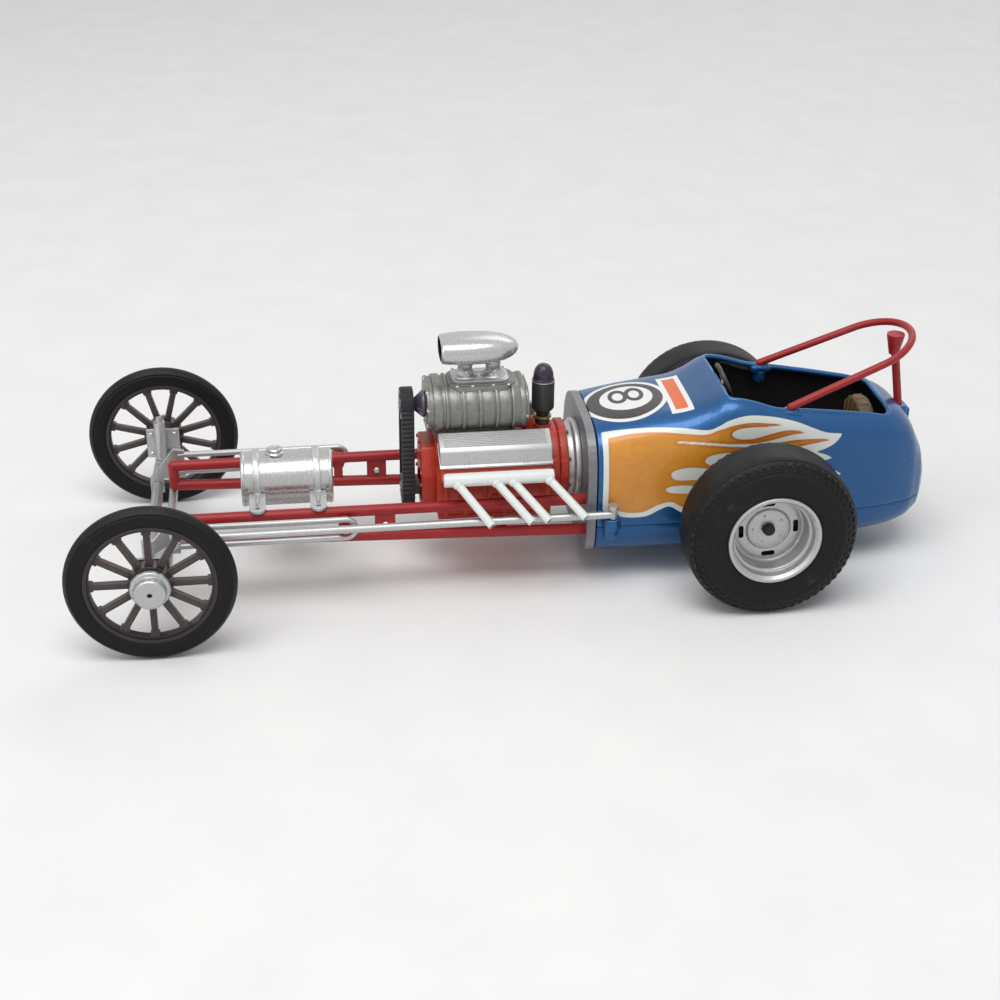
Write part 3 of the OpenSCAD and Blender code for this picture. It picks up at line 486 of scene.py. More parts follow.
def moved(shape, x=0.0, y=0.0, z=0.0):
    return [(p[0] + x, p[1] + y, p[2] + z) for p in shape[0]], shape[1]


def turned(shape, matrix):
    return [tuple(matrix @ Vector(p)) for p in shape[0]], shape[1]


def spun(shape, degrees, axis="Z"):
    return turned(shape, Matrix.Rotation(math.radians(degrees), 3, axis))


def alongX(shape):  # the shape's own Z lies along the car, its X across the car
    return [(p[2], p[0], p[1]) for p in shape[0]], shape[1]


def alongY(shape):  # the shape's own Z lies across the car
    return [(p[1], p[2], p[0]) for p in shape[0]], shape[1]


def joined(*shapes):
    points, faces = [], []
    for shape in shapes:
        base = len(points)
        points += list(shape[0])
        faces += [tuple(base + i for i in face) for face in shape[1]]
    return points, faces


def turnedSolid(profile, sides, radius, steps):  # a closed solid of revolution with softened corners
    return lathe(soften(profile, radius, steps, closed=False), sides, closed=False)


def boltHead(radius, height, sides=6):
    return lathe([(0, 0), (radius, 0), (radius, height * 0.7), (radius * 0.75, height), (0, height)],
                 sides, closed=False)


def rivet(radius, height, steps=12):
    return lathe([(0, 0), (radius, 0), (radius, height * 0.4), (radius * 0.8, height * 0.8),
                  (radius * 0.4, height), (0, height)], steps, closed=False)


def newPiece(name, body, parts, angle=38.0, replaces=()):
    mesh = bpy.data.meshes.new(name)
    bm = bmesh.new()
    used = []
    for shape, material in parts:
        if material not in used:
            used.append(material)
        index = used.index(material)
        verts = [bm.verts.new((p[0] * mm, p[1] * mm, p[2] * mm)) for p in shape[0]]
        for face in shape[1]:
            corners = [verts[i] for i in face]
            if len(set(corners)) < 3:
                continue
            try:
                made = bm.faces.new(corners)
            except ValueError:
                continue
            made.material_index = index
            made.smooth = True
    bmesh.ops.remove_doubles(bm, verts=bm.verts, dist=3e-7)
    bmesh.ops.dissolve_degenerate(bm, dist=1e-7, edges=bm.edges)
    bmesh.ops.recalc_face_normals(bm, faces=bm.faces)
    bm.to_mesh(mesh)
    bm.free()
    for material in used:
        mesh.materials.append(materials[material] if isinstance(material, str) else material)
    mesh.set_sharp_from_angle(angle=math.radians(angle))
    obj = bpy.data.objects.new(name, mesh)
    bpy.context.scene.collection.objects.link(obj)
    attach(obj, body)
    if replaces:
        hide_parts(*replaces)
    return obj


def cutFrom(obj, shape, material=None):
    mesh = bpy.data.meshes.new("cutter")
    mesh.from_pydata([(p[0] * mm, p[1] * mm, p[2] * mm) for p in shape[0]], [], [tuple(f) for f in shape[1]])
    if material is not None:
        mesh.materials.append(materials[material])
    bm = bmesh.new()
    bm.from_mesh(mesh)
    bmesh.ops.remove_doubles(bm, verts=bm.verts, dist=3e-7)
    bmesh.ops.dissolve_degenerate(bm, dist=1e-7, edges=bm.edges)
    bmesh.ops.recalc_face_normals(bm, faces=bm.faces)
    bm.to_mesh(mesh)
    bm.free()
    cutter = bpy.data.objects.new("cutter", mesh)
    bpy.context.scene.collection.objects.link(cutter)
    cut = obj.modifiers.new("cut", "BOOLEAN")
    cut.operation = "DIFFERENCE"
    cut.solver = "EXACT"
    cut.object = cutter
    if material is not None:
        cut.material_mode = "TRANSFER"
    graph = bpy.context.evaluated_depsgraph_get()
    baked = bpy.data.meshes.new_from_object(obj.evaluated_get(graph))
    obj.modifiers.clear()
    obj.data = baked
    bpy.data.objects.remove(cutter)
    baked.set_sharp_from_angle(angle=math.radians(38))


def keepNode(name, material, bevel=0.0):
    obj = nodes[name]
    obj.data.materials.clear()
    obj.data.materials.append(materials[material])
    if bevel:
        weld = obj.modifiers.new("weld", "WELD")
        weld.merge_threshold = 2e-7  # in metres
        edge = obj.modifiers.new("bevel", "BEVEL")
        edge.width = bevel * mm
        edge.segments = 2
        edge.limit_method = "ANGLE"
        edge.angle_limit = math.radians(40)
        edge.harden_normals = True


# front wheels
frontTyre = {"outer": 14.3, "seat": 11.0, "half": 1.4, "ridge": 0.14}
frontWheel = {"rimOuter": 11.05, "rimInner": 10.1, "rimHalf": 1.2, "spokes": 12, "spokeWidth": 1.15,
              "spokeDepth": 1.2, "hub": 2.9, "hubHalf": 1.8, "turn": {"left": 0.0, "right": 15.0}}
hubCap = {"flange": 3.4, "crown": 2.7, "reach": 4.3, "hole": 0.42}


def frontTyreShape():
    o, s, h, r = (frontTyre[k] for k in ("outer", "seat", "half", "ridge"))
    right = [(s, h - 0.32), (s + 0.25, h - 0.18), (s + 0.6, h - 0.05), (o - 1.35, h), (o - 1.2, h),
             (o - 1.05, h - r), (o - 0.9, h - r), (o - 0.72, h - 0.02), (o - 0.45, h - 0.32),
             (o - 0.12, h - 0.8), (o, h - 1.1)]
    profile = right + [(x, -z) for x, z in reversed(right)]
    return lathe(soften(profile, 0.14, 2), 128)


def frontWheelShape(turn):
    f = frontWheel
    w = f["rimHalf"]
    rim = lathe(soften([(f["rimInner"], -w + 0.35), (f["rimInner"], w - 0.35),
                        (f["rimInner"] + 0.3, w - 0.35), (f["rimInner"] + 0.3, w), (f["rimOuter"], w),
                        (f["rimOuter"], -w), (f["rimInner"] + 0.3, -w),
                        (f["rimInner"] + 0.3, -w + 0.35)], 0.08, 2), 128)
    spokes = []
    half, deep = f["spokeWidth"] / 2, f["spokeDepth"] / 2
    for i in range(f["spokes"]):
        flat = slab([(1.6, -half * 1.05), (f["rimInner"] + 0.2, -half * 0.95),
                     (f["rimInner"] + 0.2, half * 0.95), (1.6, half * 1.05)], -deep, deep, 0.16)
        groove = slab([(3.9, -half * 0.45), (f["rimInner"] - 0.5, -half * 0.4),
                       (f["rimInner"] - 0.5, half * 0.4), (3.9, half * 0.45)], -deep - 0.05, deep + 0.05,
                       0.05)
        foot = slab([(f["rimInner"] - 0.75, -half * 1.3), (f["rimInner"] + 0.2, -half * 1.5),
                     (f["rimInner"] + 0.2, half * 1.5), (f["rimInner"] - 0.75, half * 1.3)], -deep * 1.1,
                     deep * 1.1, 0.1)
        spokes.append(spun(joined(flat, groove, foot), i * 360 / f["spokes"] + turn))
    hub = lathe(soften([(1.0, -f["hubHalf"]), (2.1, -f["hubHalf"]), (2.5, -f["hubHalf"] + 0.5),
                        (f["hub"] + 0.55, -0.75), (f["hub"] + 0.55, 0.75), (f["hub"], 1.0),
                        (2.7, f["hubHalf"]), (1.0, f["hubHalf"])], 0.15, 2), 96)
    ribs = [spun(slab([(2.0, -0.22), (3.75, -0.3), (3.75, 0.3), (2.0, 0.22)], -1.25, 1.25, 0.1),
                 (i + 0.5) * 360 / f["spokes"] + turn) for i in range(f["spokes"])]
    return joined(rim, hub, *spokes, *ribs)


def hubCapShape():
    c = hubCap
    base = frontWheel["hubHalf"]
    return turnedSolid([(0, c["reach"] - 0.5), (c["hole"], c["reach"] - 0.5), (c["hole"], c["reach"]),
                        (c["crown"] - 0.25, c["reach"]), (c["crown"], c["reach"] - 0.3),
                        (c["crown"], base + 1.05), (c["crown"] + 0.12, base + 0.9),
                        (c["flange"] - 0.15, base + 0.8), (c["flange"], base + 0.55),
                        (c["flange"], base), (1.3, base), (1.3, c["reach"] - 0.9),
                        (0, c["reach"] - 0.9)], 96, 0.12, 3)


def atWheel(shape, side, station, halfTrack, height):
    across = alongY(shape)
    if side < 0:
        across = spun(across, 180)
    return moved(across, station, side * halfTrack, height)


for label, side in sides.items():
    body = f"front_wheel_{label}_assembly"
    place = (side, axleX, frontWheelY, frontWheelZ)
    newPiece(f"front_tyre_{label}_rubber", body,
             [(atWheel(frontTyreShape(), *place), "tyreBlack")], replaces=(f"front_tyre_{label}",))
    newPiece(f"front_wheel_{label}_spoked", body,
             [(atWheel(frontWheelShape(frontWheel["turn"][label]), *place), "spokeBrown")],
             replaces=(f"front_wheel_{label}",))
    # a black disc at the bottom of the hub cap's hole: painted shade in the hole
    hole = lathe([(0, hubCap["reach"] - 0.45), (hubCap["hole"] - 0.02, hubCap["reach"] - 0.45),
                  (hubCap["hole"] - 0.02, hubCap["reach"] - 0.42), (0, hubCap["reach"] - 0.42)], 24,
                  closed=False)
    newPiece(f"hub_cap_{label}_turned", body,
             [(atWheel(hubCapShape(), *place), "silverPaint"), (atWheel(hole, *place), "paintedShadeBlack")],
             replaces=(f"hub_cap_{label}",))
print("front wheels made")


# rear wheels
rearTyre = {"outer": 15.25, "seat": 8.1, "half": 5.0, "lugs": 60}
rearRim = {"lip": 8.3, "well": 6.5, "face": 0.5, "plate": 3.85, "slots": 4, "slotPlace": 4.9, "bolts": 5,
           "boltPlace": 2.7}


def rearTyreShape():
    o, s, h = (rearTyre[k] for k in ("outer", "seat", "half"))
    wall = [(s, h - 0.7), (s + 0.35, h - 0.42), (s + 0.7, h - 0.3), (s + 1.6, h - 0.06),
            (s + 1.9, h - 0.02), (s + 2.05, h - 0.1), (s + 2.2, h - 0.1), (s + 2.35, h), (s + 3.3, h),
            (s + 3.45, h - 0.08), (s + 3.6, h - 0.08), (s + 3.75, h - 0.01), (o - 2.55, h - 0.02),
            (o - 2.3, h - 0.22), (o - 1.3, h - 0.62), (o - 0.62, h - 1.2), (o - 0.5, h - 1.38),
            (o - 0.42, h - 1.6), (o - 0.26, h - 1.62), (o - 0.08, h - 2.2), (o, h - 3.0)]
    profile = wall + [(x, -z) for x, z in reversed(wall)]
    return lathe(soften(profile, 0.12, 2), 144)


def rearLugShape():
    o, h, count = rearTyre["outer"], rearTyre["half"], rearTyre["lugs"]
    shapes = []
    for side in (1, -1):
        for i in range(count):
            angle = 360 * i / count
            low = brick((-0.36, -0.4, -0.1), (0.36, 0.4, 0.2), 0.07)
            tilted = turned(low, Matrix.Rotation(math.radians(48), 3, "Y"))
            place = moved(tilted, o - 0.84, 0, (h - 1.0))
            small = turned(brick((-0.2, -0.24, -0.08), (0.2, 0.24, 0.16), 0.05),
                           Matrix.Rotation(math.radians(22), 3, "Y"))
            second = spun(moved(small, o - 1.85, 0, h - 0.42), 180 / count)
            pair = spun(joined(place, second), angle)
            if side < 0:
                pair = [(p[0], p[1], -p[2]) for p in pair[0]], pair[1]
            shapes.append(pair)
    return joined(*shapes)


def rearRimShape():
    r = rearRim
    face = r["face"]
    h = rearTyre["half"]
    outer = soften([(1.06, face - 0.15), (r["plate"] - 0.12, face - 0.15),
                    (r["plate"] - 0.06, face - 0.45), (r["plate"] + 0.1, face - 0.45),
                    (r["plate"] + 0.2, face - 0.25), (5.4, face - 0.2), (6.0, face - 0.35),
                    (6.25, face - 0.3), (r["well"], face + 0.1), (r["well"] + 0.05, h - 2.3),
                    (r["well"] + 0.15, h - 2.0), (r["well"] + 0.6, h - 1.85),
                    (r["well"] + 0.68, h - 1.5), (r["well"] + 0.72, h - 0.6),
                    (r["well"] + 1.0, h - 0.35), (r["well"] + 1.2, h - 0.05), (r["lip"] - 0.15, h),
                    (r["lip"], h - 0.15), (r["lip"], h - 0.6), (8.1, h - 0.72), (8.1, -h + 0.7),
                    (7.3, -h + 0.7), (7.25, face - 2.0), (5.7, face - 1.6), (1.06, face - 1.6)], 0.1, 2)
    return lathe(outer, 128)


def rimCutters():
    shapes = []
    r = rearRim
    for i in range(r["slots"]):
        outline = soften([(r["slotPlace"] - 0.46, -1.2), (r["slotPlace"] + 0.46, -1.2),
                          (r["slotPlace"] + 0.46, 1.2), (r["slotPlace"] - 0.46, 1.2)], 0.42, 4)
        shapes.append(spun(slab(outline, r["face"] - 1.3, 2.0, 0.01, 1), 360 * i / r["slots"] + 4))
    return joined(*shapes)


def rimDetails():
    r = rearRim
    face = r["face"]
    bolts = [spun(moved(rivet(0.24, 0.28), r["boltPlace"], 0, face - 0.18), 360 * i / r["bolts"] + 18)
             for i in range(r["bolts"])]
    beadRing = lathe(soften([(r["plate"] - 0.42, face - 0.16), (r["plate"] - 0.42, face - 0.05),
            (r["plate"] - 0.2, face - 0.05), (r["plate"] - 0.2, face - 0.16)], 0.05, 2), 96)
    return joined(beadRing, *bolts)


def axleEndShadeDisc():  # black disc over the end of the axle, filling the rim's centre hole: painted shade in the hole
    end = max(rearRim["face"] - 0.1, boxOf("rear_axle")[1].y - rearWheelY + 0.03)
    return lathe([(0, rearRim["face"] - 0.4), (1.02, rearRim["face"] - 0.4), (1.02, end),
                  (0.85, end + 0.1), (0.55, end + 0.02), (0, end + 0.02)], 32, closed=False)


for label, side in sides.items():
    body = f"rear_wheel_{label}_assembly"
    place = (side, rearWheelX, rearWheelY, rearWheelZ)
    newPiece(f"rear_tyre_{label}_slick", body,
             [(atWheel(joined(rearTyreShape(), rearLugShape()), *place), "tyreBlack")],
             replaces=(f"rear_tyre_{label}",))
    rim = newPiece(f"rear_rim_{label}_dish", body,
                   [(atWheel(rearRimShape(), *place), "silverPaint")], replaces=(f"rear_rim_{label}",))
    # the walls of the cut slots take the black: painted shade in the slots
    cutFrom(rim, atWheel(rimCutters(), *place), "paintedShadeBlack")
    newPiece(f"rear_rim_{label}_bolts", body,
             [(atWheel(rimDetails(), *place), "silverPaint"), (atWheel(axleEndShadeDisc(), *place), "paintedShadeBlack")])
print("rear wheels made")


# body
bodyShape = {"middle": 14.0, "lowPower": 4.0, "wall": 1.0, "seam": 11.6, "start": 78.0, "step": 0.42,
             "rows": [  # station, half width, floor, crown, squareness of the top
                 (78, 13.5, 4.8, 29.6, 3.8), (84, 13.5, 4.7, 30.7, 4), (90, 13.5, 4.6, 31.5, 4.2),
                 (95, 13.5, 4.6, 32.1, 4.6), (98, 13.5, 4.6, 33.1, 5.2), (101, 13.5, 4.6, 34.6, 6),
                 (103, 13.5, 4.6, 34.9, 6.2), (106, 13.5, 4.6, 34.2, 6.6), (110, 13.1, 4.6, 33.1, 6.6),
                 (118, 12.7, 4.7, 31.9, 6.4), (126, 11.9, 4.9, 30.7, 6), (132, 10.9, 5.3, 29.9, 5),
                 (135.5, 9.9, 5.8, 28.6, 4), (138.2, 8.7, 6.6, 25.6, 3.4), (140.4, 6.9, 7.8, 21.4, 3),
                 (141.6, 4.8, 9.4, 17.6, 2.6), (142, 2.6, 11.2, 14.8, 2.4)]}
opening = {"front": 101.4, "rear": 132.6, "halfFront": 10.1, "halfMiddle": 10.5, "halfRear": 8.8,
           "frontCorner": 1.6, "rearCorner": 2.2, "middle": 110.4, "lip": 0.5}


def bodyRow(station):
    rows = bodyShape["rows"]
    stations = [r[0] for r in rows]
    i = max(0, min(len(rows) - 2, int(np.searchsorted(stations, station, side="right")) - 1))
    a, b = rows[i], rows[i + 1]
    before, after = rows[max(i - 1, 0)], rows[min(i + 2, len(rows) - 1)]
    span = b[0] - a[0]
    t = (station - a[0]) / span
    out = []
    for k in range(1, 5):
        slopeA = (b[k] - before[k]) / (b[0] - before[0]) if i > 0 else (b[k] - a[k]) / span
        slopeB = (after[k] - a[k]) / (after[0] - a[0]) if i < len(rows) - 2 else (b[k] - a[k]) / span
        if i >= len(rows) - 4:  # the tail closes too fast for a smooth curve
            slopeA = slopeB = (b[k] - a[k]) / span
        out.append(a[k] * (1 + 2 * t) * (1 - t) ** 2 + slopeA * span * t * (1 - t) ** 2
                   + b[k] * t * t * (3 - 2 * t) + slopeB * span * t * t * (t - 1))
    return out


def halfSection(station, inset, lowZ, highZ, count):
    w, floor, crown, power = bodyRow(station)
    middle = bodyShape["middle"]
    a = np.radians(np.linspace(-90, 90, 721))
    top = a >= 0
    p = np.where(top, power, bodyShape["lowPower"])
    h = np.where(top, crown - inset - middle, middle - floor - inset)
    y = (w - inset) * np.abs(np.cos(a)) ** (2 / p)
    z = middle + np.sign(a) * h * np.abs(np.sin(a)) ** (2 / p)
    run = np.concatenate([[0], np.cumsum(np.hypot(np.diff(y), np.diff(z)))])
    zero = np.interp(0, a, run)
    low = max(lowZ, z[0]) if lowZ is not None else z[0]
    high = min(highZ, z[-1]) if highZ is not None else z[-1]
    runLow, runHigh = np.interp(low, z, run), np.interp(high, z, run)
    at = np.linspace(runLow, runHigh, count + 1)
    return np.interp(at, run, y), np.interp(at, run, z), at - zero


def openingOutline():
    o = opening
    points = []

    def arc(cx, cy, r, start, end, steps=10):
        for k in range(steps + 1):
            a = math.radians(start + (end - start) * k / steps)
            points.append((cx + r * math.cos(a), cy + r * math.sin(a)))
    arc(o["front"] + o["frontCorner"], o["halfFront"] - o["frontCorner"], o["frontCorner"], 180, 94)
    arc(o["middle"], o["halfMiddle"] - o["frontCorner"], o["frontCorner"], 93, 84, 4)
    arc(o["rear"] - o["rearCorner"], o["halfRear"] - o["rearCorner"], o["rearCorner"], 84, 0)
    half = points
    return half + [(x, -y) for x, y in reversed(half)]


def resampled(outline, step):
    points = np.array(outline + [outline[0]])
    run = np.concatenate([[0], np.cumsum(np.hypot(*np.diff(points, axis=0).T))])
    at = np.arange(0, run[-1] - step / 2, step)
    return np.stack([np.interp(at, run, points[:, 0]), np.interp(at, run, points[:, 1])], 1)


def insideOutline(outline, points):
    inside = np.zeros(len(points), bool)
    count = len(outline)
    for i in range(count):
        (x0, y0), (x1, y1) = outline[i], outline[(i + 1) % count]
        if y0 == y1:
            continue
        crosses = (y0 > points[:, 1]) != (y1 > points[:, 1])
        at = x0 + (points[:, 1] - y0) / (y1 - y0) * (x1 - x0)
        inside ^= crosses & (points[:, 0] < at)
    return inside


def distanceTo(outline, points, closed=True):
    count = len(outline)
    best = np.full(len(points), 1e9)
    for i in range(count if closed else count - 1):
        a, b = np.array(outline[i]), np.array(outline[(i + 1) % count])
        along = b - a
        length = max(along @ along, 1e-12)
        t = np.clip((points - a) @ along / length, 0, 1)
        gap = np.hypot(*(points - a - t[:, None] * along).T)
        best = np.minimum(best, gap)
    return best


def topHeight(station, y, inset=0.0):
    w, floor, crown, power = bodyRow(station)
    middle = bodyShape["middle"]
    share = min(0.9999, abs(y) / (w - inset))
    return middle + (crown - inset - middle) * (1 - share ** power) ** (1 / power)


openingLine = openingOutline()


def loft(inset, lowZ, highZ, stations, count, cutOpening):
    # rings across the car, from the right edge over (or under) to the left edge
    points, extra, rings = [], [], []
    for s in stations:
        y, z, c = halfSection(s, inset, lowZ, highZ, count)
        if lowZ is not None and highZ is None:  # upper shell: right edge, crown, left edge
            ys, zs, cs = np.concatenate([y, -y[-2::-1]]), np.concatenate([z,
                    z[-2::-1]]), np.concatenate([c, c[-2::-1]])
        else:  # pan: right edge, floor, left edge
            ys, zs, cs = np.concatenate([y[::-1], -y[1:]]), np.concatenate([z[::-1],
                    z[1:]]), np.concatenate([c[::-1], c[1:]])
        points += [(axleX + s, yy, zz) for yy, zz in zip(ys, zs)]
        extra += [(s, cc) for cc in cs]
        rings.append(len(ys))
    width = rings[0]
    faces = []
    plan = np.array([(p[0] - axleX, p[1]) for p in points])
    heights = np.array([p[2] for p in points])
    for r in range(len(stations) - 1):
        for k in range(width - 1):
            quad = (r * width + k, r * width + k + 1, (r + 1) * width + k + 1, (r + 1) * width + k)
            faces.append(quad)
    last = (len(stations) - 1) * width
    faces += [(last + k, last + k + 1, last + width - 2 - k, last + width - 1 - k)
              for k in range(width // 2 - 1)]
    faces.append((last + width // 2 - 1, last + width // 2, last + width // 2 + 1))  # the tail is closed
    if cutOpening:
        middles = np.array([plan[list(f)].mean(0) for f in faces])
        tops = np.array([heights[list(f)].mean() for f in faces]) > 22
        gone = insideOutline(openingLine, middles) & tops
        faces = [f for f, g in zip(faces, gone) if not g]
        edges = {}
        for f in faces:
            for i in range(len(f)):
                key = tuple(sorted((f[i], f[(i + 1) % len(f)])))
                edges[key] = edges.get(key, 0) + 1
        border = sorted({v for key, n in edges.items() if n == 1 for v in key})
        line = resampled(openingLine, 0.05)
        for v in border:
            if heights[v] > 22 and stations[0] + 1 < plan[v][0] < stations[-1] - 1:
                near = line[np.argmin(np.hypot(*(line - plan[v]).T))]
                points[v] = (axleX + near[0], near[1], topHeight(near[0], near[1], inset))
    return points, faces, extra, width


def strip(a, b):
    # faces between two rows of points of equal length
    count = len(a)
    return [*a, *b], [(i, i + 1, count + i + 1, count + i) for i in range(count - 1)]


# flames in (station, height along the side from the middle); strokes meet at sharp points
flames = {
    "border": [[(78.9, 1.2), (78.9, 8), (78.9, 16.0)], [(78.9, 16.0), (82, 16.3), (87.5, 16.4),
            (92.7, 16.1), (97.3, 15.6), (99.4, 16.3), (101.4, 17.4), (104.8, 18.1), (108.7, 17.6),
            (113.5, 16.3), (117, 14.8), (119.5, 13.8), (122.6, 13.3)], [(122.6, 13.3), (121.2, 11.7),
            (119.2, 10.7), (116.5, 10.1)], [(116.5, 10.1), (119, 9.8), (121, 8.7)],
            [(121, 8.7), (118.5, 8.3), (115.5, 7.9)], [(115.5, 7.9), (119.5, 7.4), (123.2, 5.2)],
            [(123.2, 5.2), (117, 5.4), (111, 4.6), (107.5, 4.6)],
            [(107.5, 4.6), (112, 3.6), (117.5, 1.2)], [(117.5, 1.2), (111, 1.6), (105, 0.9),
            (100.5, 1.4)], [(100.5, 1.4), (104.5, 0.2), (108.5, -1.4)], [(108.5, -1.4), (101.5, -1.2),
            (96.5, -0.9), (93.6, -0.2), (91.2, 1.2), (89.4, 0.7), (86.8, -0.5), (83.2, -0.5),
            (80.6, 0.4), (78.9, 1.2)], ],
    "gold": [[(79.9, 1.9), (79.85, 8), (79.9, 14.7)], [(79.9, 14.7), (84, 15.4), (88.7, 15.5),
            (93.5, 15.0), (97.1, 14.8), (99.4, 15.6), (102.3, 16.5), (105.6, 16.8), (109, 16.3),
            (112.6, 15.9)], [(112.6, 15.9), (109, 15.75), (105.6, 15.95), (102.9, 15.7), (101.7, 14.85),
            (102.7, 14.0), (105.4, 13.8), (109, 14.4), (112.4, 14.8), (116.8, 14.1)],
            [(116.8, 14.1), (113, 13.9), (109, 13.2), (105.5, 12.9), (101.6, 13.05), (97, 13.4),
             (92.6, 13.7), (92.5, 13.35), (97, 12.95), (101.6, 12.5), (106, 12.2), (110, 12.6),
             (115, 12.9), (121.8, 12.5)], [(121.8, 12.5), (117, 11.9), (112, 11.3), (106, 11.2),
            (101, 11.3), (98.2, 10.9), (97.1, 9.9), (98.4, 9.0), (102, 9.1), (107, 9.6), (113, 9.7),
            (120.0, 8.9)], [(120.0, 8.9), (113, 8.8), (106, 8.1), (99, 8.3), (94.6, 8.75), (91.9, 8.3),
                            (91.1, 7.5), (92.0, 6.5), (95, 6.3), (101, 6.5), (108, 7.2), (115, 7.1),
                            (122.0, 5.6)], [(122.0, 5.6), (114, 6.0), (106, 5.4), (98, 5.0), (93.6, 5.3),
            (91.2, 5.2), (90.2, 4.6), (91.4, 3.9), (95, 3.6), (101, 3.7), (108, 3.4), (116, 1.8)],
            [(116, 1.8), (109, 2.4), (102, 2.3), (98, 1.9), (96.4, 1.2), (98, 0.6), (102, 0.2),
             (106.5, -0.8)], [(106.5, -0.8), (100, -0.4), (96, -0.1), (93.6, 0.9), (91.4, 2.1),
            (88.9, 1.6), (86.4, 0.4), (83.4, 0.4), (81.2, 1.1), (79.9, 1.9)], ],
}


def smoothStroke(points, steps=8):
    out = []
    count = len(points)
    for i in range(count - 1):
        p0, p1, p2, p3 = (np.array(points[max(0, min(count - 1, i + k))]) for k in (-1, 0, 1, 2))
        for k in range(steps):
            t = k / steps
            out.append(tuple(0.5 * (2 * p1 + (p2 - p0) * t + (2 * p0 - 5 * p1 + 4 * p2 - p3) * t * t
                                    + (3 * p1 - p0 - 3 * p2 + p3) * t ** 3)))
    return out


def signedDistance(strokes, points):
    outline = [p for stroke in strokes for p in smoothStroke(stroke)]
    gap = distanceTo(outline, points)
    return np.where(insideOutline(outline, points), -gap, gap)


def storeFlames(obj, extra):
    points = np.array(extra)
    for name, strokes in flames.items():
        values = signedDistance(strokes, points)
        layer = obj.data.attributes.new(name, "FLOAT", "POINT")
        layer.data.foreach_set("value", values.astype(np.float32))


